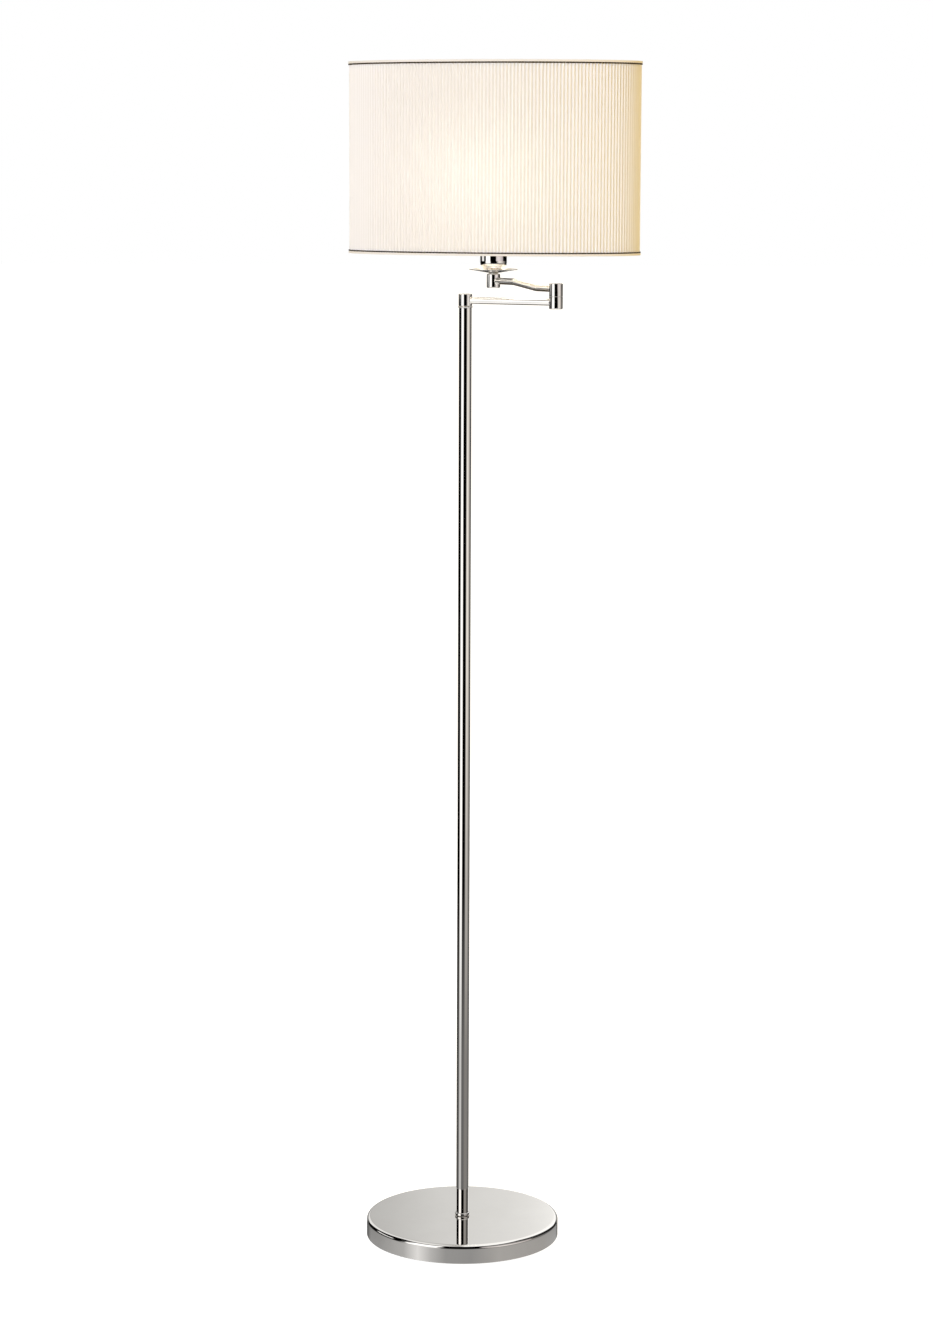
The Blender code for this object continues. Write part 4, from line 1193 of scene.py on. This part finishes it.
def overhead(tree, right):
    """The bright ceiling, which falls off towards the left behind the lamp."""
    sky = add(tree, "ShaderNodeValToRGB", {0: ranged(tree, right, -0.5, 0.5, 0.0, 1.0)})
    elements = sky.color_ramp.elements
    elements[0].position, elements[0].color = 0.0, WHITE
    elements[1].position, elements[1].color = 1.0, (1.25, 1.25, 1.25, 1)
    for position, grey in (
        (0.30, 0.85), (0.455, 0.48), (0.477, 0.60), (0.492, 0.73), (0.513, 0.83), (0.522, 0.91),
        (0.53, 1.1),
    ):
        elements.new(position).color = (grey, grey, grey * 0.985, 1)
    return sky.outputs[0]


def mirrored(tree, right, back, up):
    """What the metal mirrors, by direction: the walls, the floor under them and the ceiling."""
    turn = math_node(tree, "ARCTAN2", right, math_node(tree, "MULTIPLY", back, -1.0))
    turn = ranged(tree, turn, -math.pi, math.pi, 0.0, 1.0)
    rise = math_node(tree, "MULTIPLY", math_node(tree, "ARCSINE", up), 180 / math.pi)
    walls = above(tree, rise, -2.45, -1.85, pole_walls(tree, turn), cup_walls(tree, turn))
    walls_over = above(tree, rise, 38.0, 43.0, high_walls(tree, turn), BLACK)
    walls = above(tree, rise, 11.0, 15.0, walls, walls_over)
    near = above(tree, rise, -30.0, -22.0, floor_below(tree, turn), floor_near(tree, turn))
    ground = above(tree, rise, -18.7, -17.8, near, floor_far(tree, turn), smooth=True)
    # the right wall darkens slowly towards the floor, the others quickly
    slow = ((-180, 0.0), (15, 0.0), (32, 1.0), (120, 1.0), (150, 0.0), (180, 0.0))
    wall_foot = ranged(tree, by_azimuth(tree, turn, slow), 0.0, 1.0, -12.6, -8.5)
    level = above(tree, rise, -15.6, wall_foot, ground, walls)
    # the ceiling starts at these shares of 90 degrees
    starts = ((-180, 0.08), (-145, 0.10), (-118, 0.60), (112, 0.60), (140, 0.10), (180, 0.08))
    start = math_node(tree, "MULTIPLY", by_azimuth(tree, turn, starts), 90.0)
    over = math_node(tree, "SUBTRACT", rise, start)
    return above(tree, over, -3.0, 4.0, level, overhead(tree, right), smooth=True)


def studio():
    """White behind the lamp, a soft warm light for cloth, and the mirrored studio for the metal."""
    world = bpy.data.worlds.new("studio")
    bpy.context.scene.world = world
    world.use_nodes = True
    tree = world.node_tree
    tree.nodes.clear()
    direction = add(tree, "ShaderNodeTexCoord").outputs["Generated"]
    right, back, up = add(tree, "ShaderNodeSeparateXYZ", {0: direction}).outputs
    path = add(tree, "ShaderNodeLightPath")
    fall = ranged(tree, back, -1.0, 1.0, 0.80, 0.50)
    seen = add(tree, "ShaderNodeBackground", {"Color": WHITE, "Strength": 1.0})
    soft = add(tree, "ShaderNodeBackground", {"Color": (1.0, 0.80, 0.45, 1), "Strength": fall})
    around = mirrored(tree, right, back, up)
    shiny = add(tree, "ShaderNodeBackground", {"Color": around, "Strength": 1.0})
    glossy = {0: path.outputs["Is Glossy Ray"], 1: soft.outputs[0], 2: shiny.outputs[0]}
    lit = add(tree, "ShaderNodeMixShader", glossy)
    direct = {0: path.outputs["Is Camera Ray"], 1: lit.outputs[0], 2: seen.outputs[0]}
    whole = add(tree, "ShaderNodeMixShader", direct)
    tree.links.new(whole.outputs[0], add(tree, "ShaderNodeOutputWorld").inputs[0])


def area_light(name, azimuth, rise, size, colour, target):
    """A soft square light aimed at a point, not seen in the metal. Azimuth as in by_azimuth."""
    data = bpy.data.lights.new(name, "AREA")
    data.shape = "SQUARE"
    data.size = size
    data.energy = 100 * max(colour)
    data.color = [c / max(colour) for c in colour]
    thing = placed(name, data)
    turn, up = math.radians(azimuth), math.radians(rise)
    out = Vector((math.sin(turn) * math.cos(up), -math.cos(turn) * math.cos(up), math.sin(up)))
    aim = (-out).to_track_quat("-Z", "Y").to_matrix().to_4x4()
    thing.matrix_world = Matrix.Translation(target + out * LIGHT_DISTANCE) @ aim
    thing.visible_glossy = False


def bulb_light():
    """The bulb's own light, which rides with the head."""
    data = bpy.data.lights.new("bulb_light", "POINT")
    data.energy = 0.60
    data.color = (1.0, 0.965, 0.91)
    data.shadow_soft_size = 0.028
    thing = placed("bulb_light", data)
    thing.location = (HEAD_AXIS.x, HEAD_AXIS.y, heights("bulb_glass")[1] - BULB_LIGHT_DROP)
    thing.visible_glossy = False
    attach(thing, "head")


def lights():
    """A cool key from the left front, a weak warm fill from the right, and one from behind."""
    shade = Vector((HEAD_AXIS.x, HEAD_AXIS.y, (SHADE_LOW + SHADE_HIGH) / 2))
    area_light("key", -27, 12, 0.9, (0.425, 0.507, 0.715), shade)
    area_light("fill", 80, 6, 1.2, (0.245, 0.168, 0.058), shade)
    area_light("back", 160, 2, 1.6, (0.55, 0.55, 0.56), shade)


def finish_nodes():
    """Gives each CAD node that still shows its material from this script."""
    for name, thing in frame["nodes"].items():
        if not thing.hide_render:
            thing.data.materials.clear()
            thing.data.materials.append(MATERIALS[SLOT_OF[name]])


camera()
floor()
studio()
base()
pole()
cable_bush()
lower_arm()
upper_arm()
saucer()
socket_cup()
lampholder()
ring_nut()
bulb()
cover = pleated_cover()
liner()
trims = tapes() + cords()
carrier()
lights()
bulb_light()
finish_nodes()
bpy.context.scene.view_settings.view_transform = "Standard"
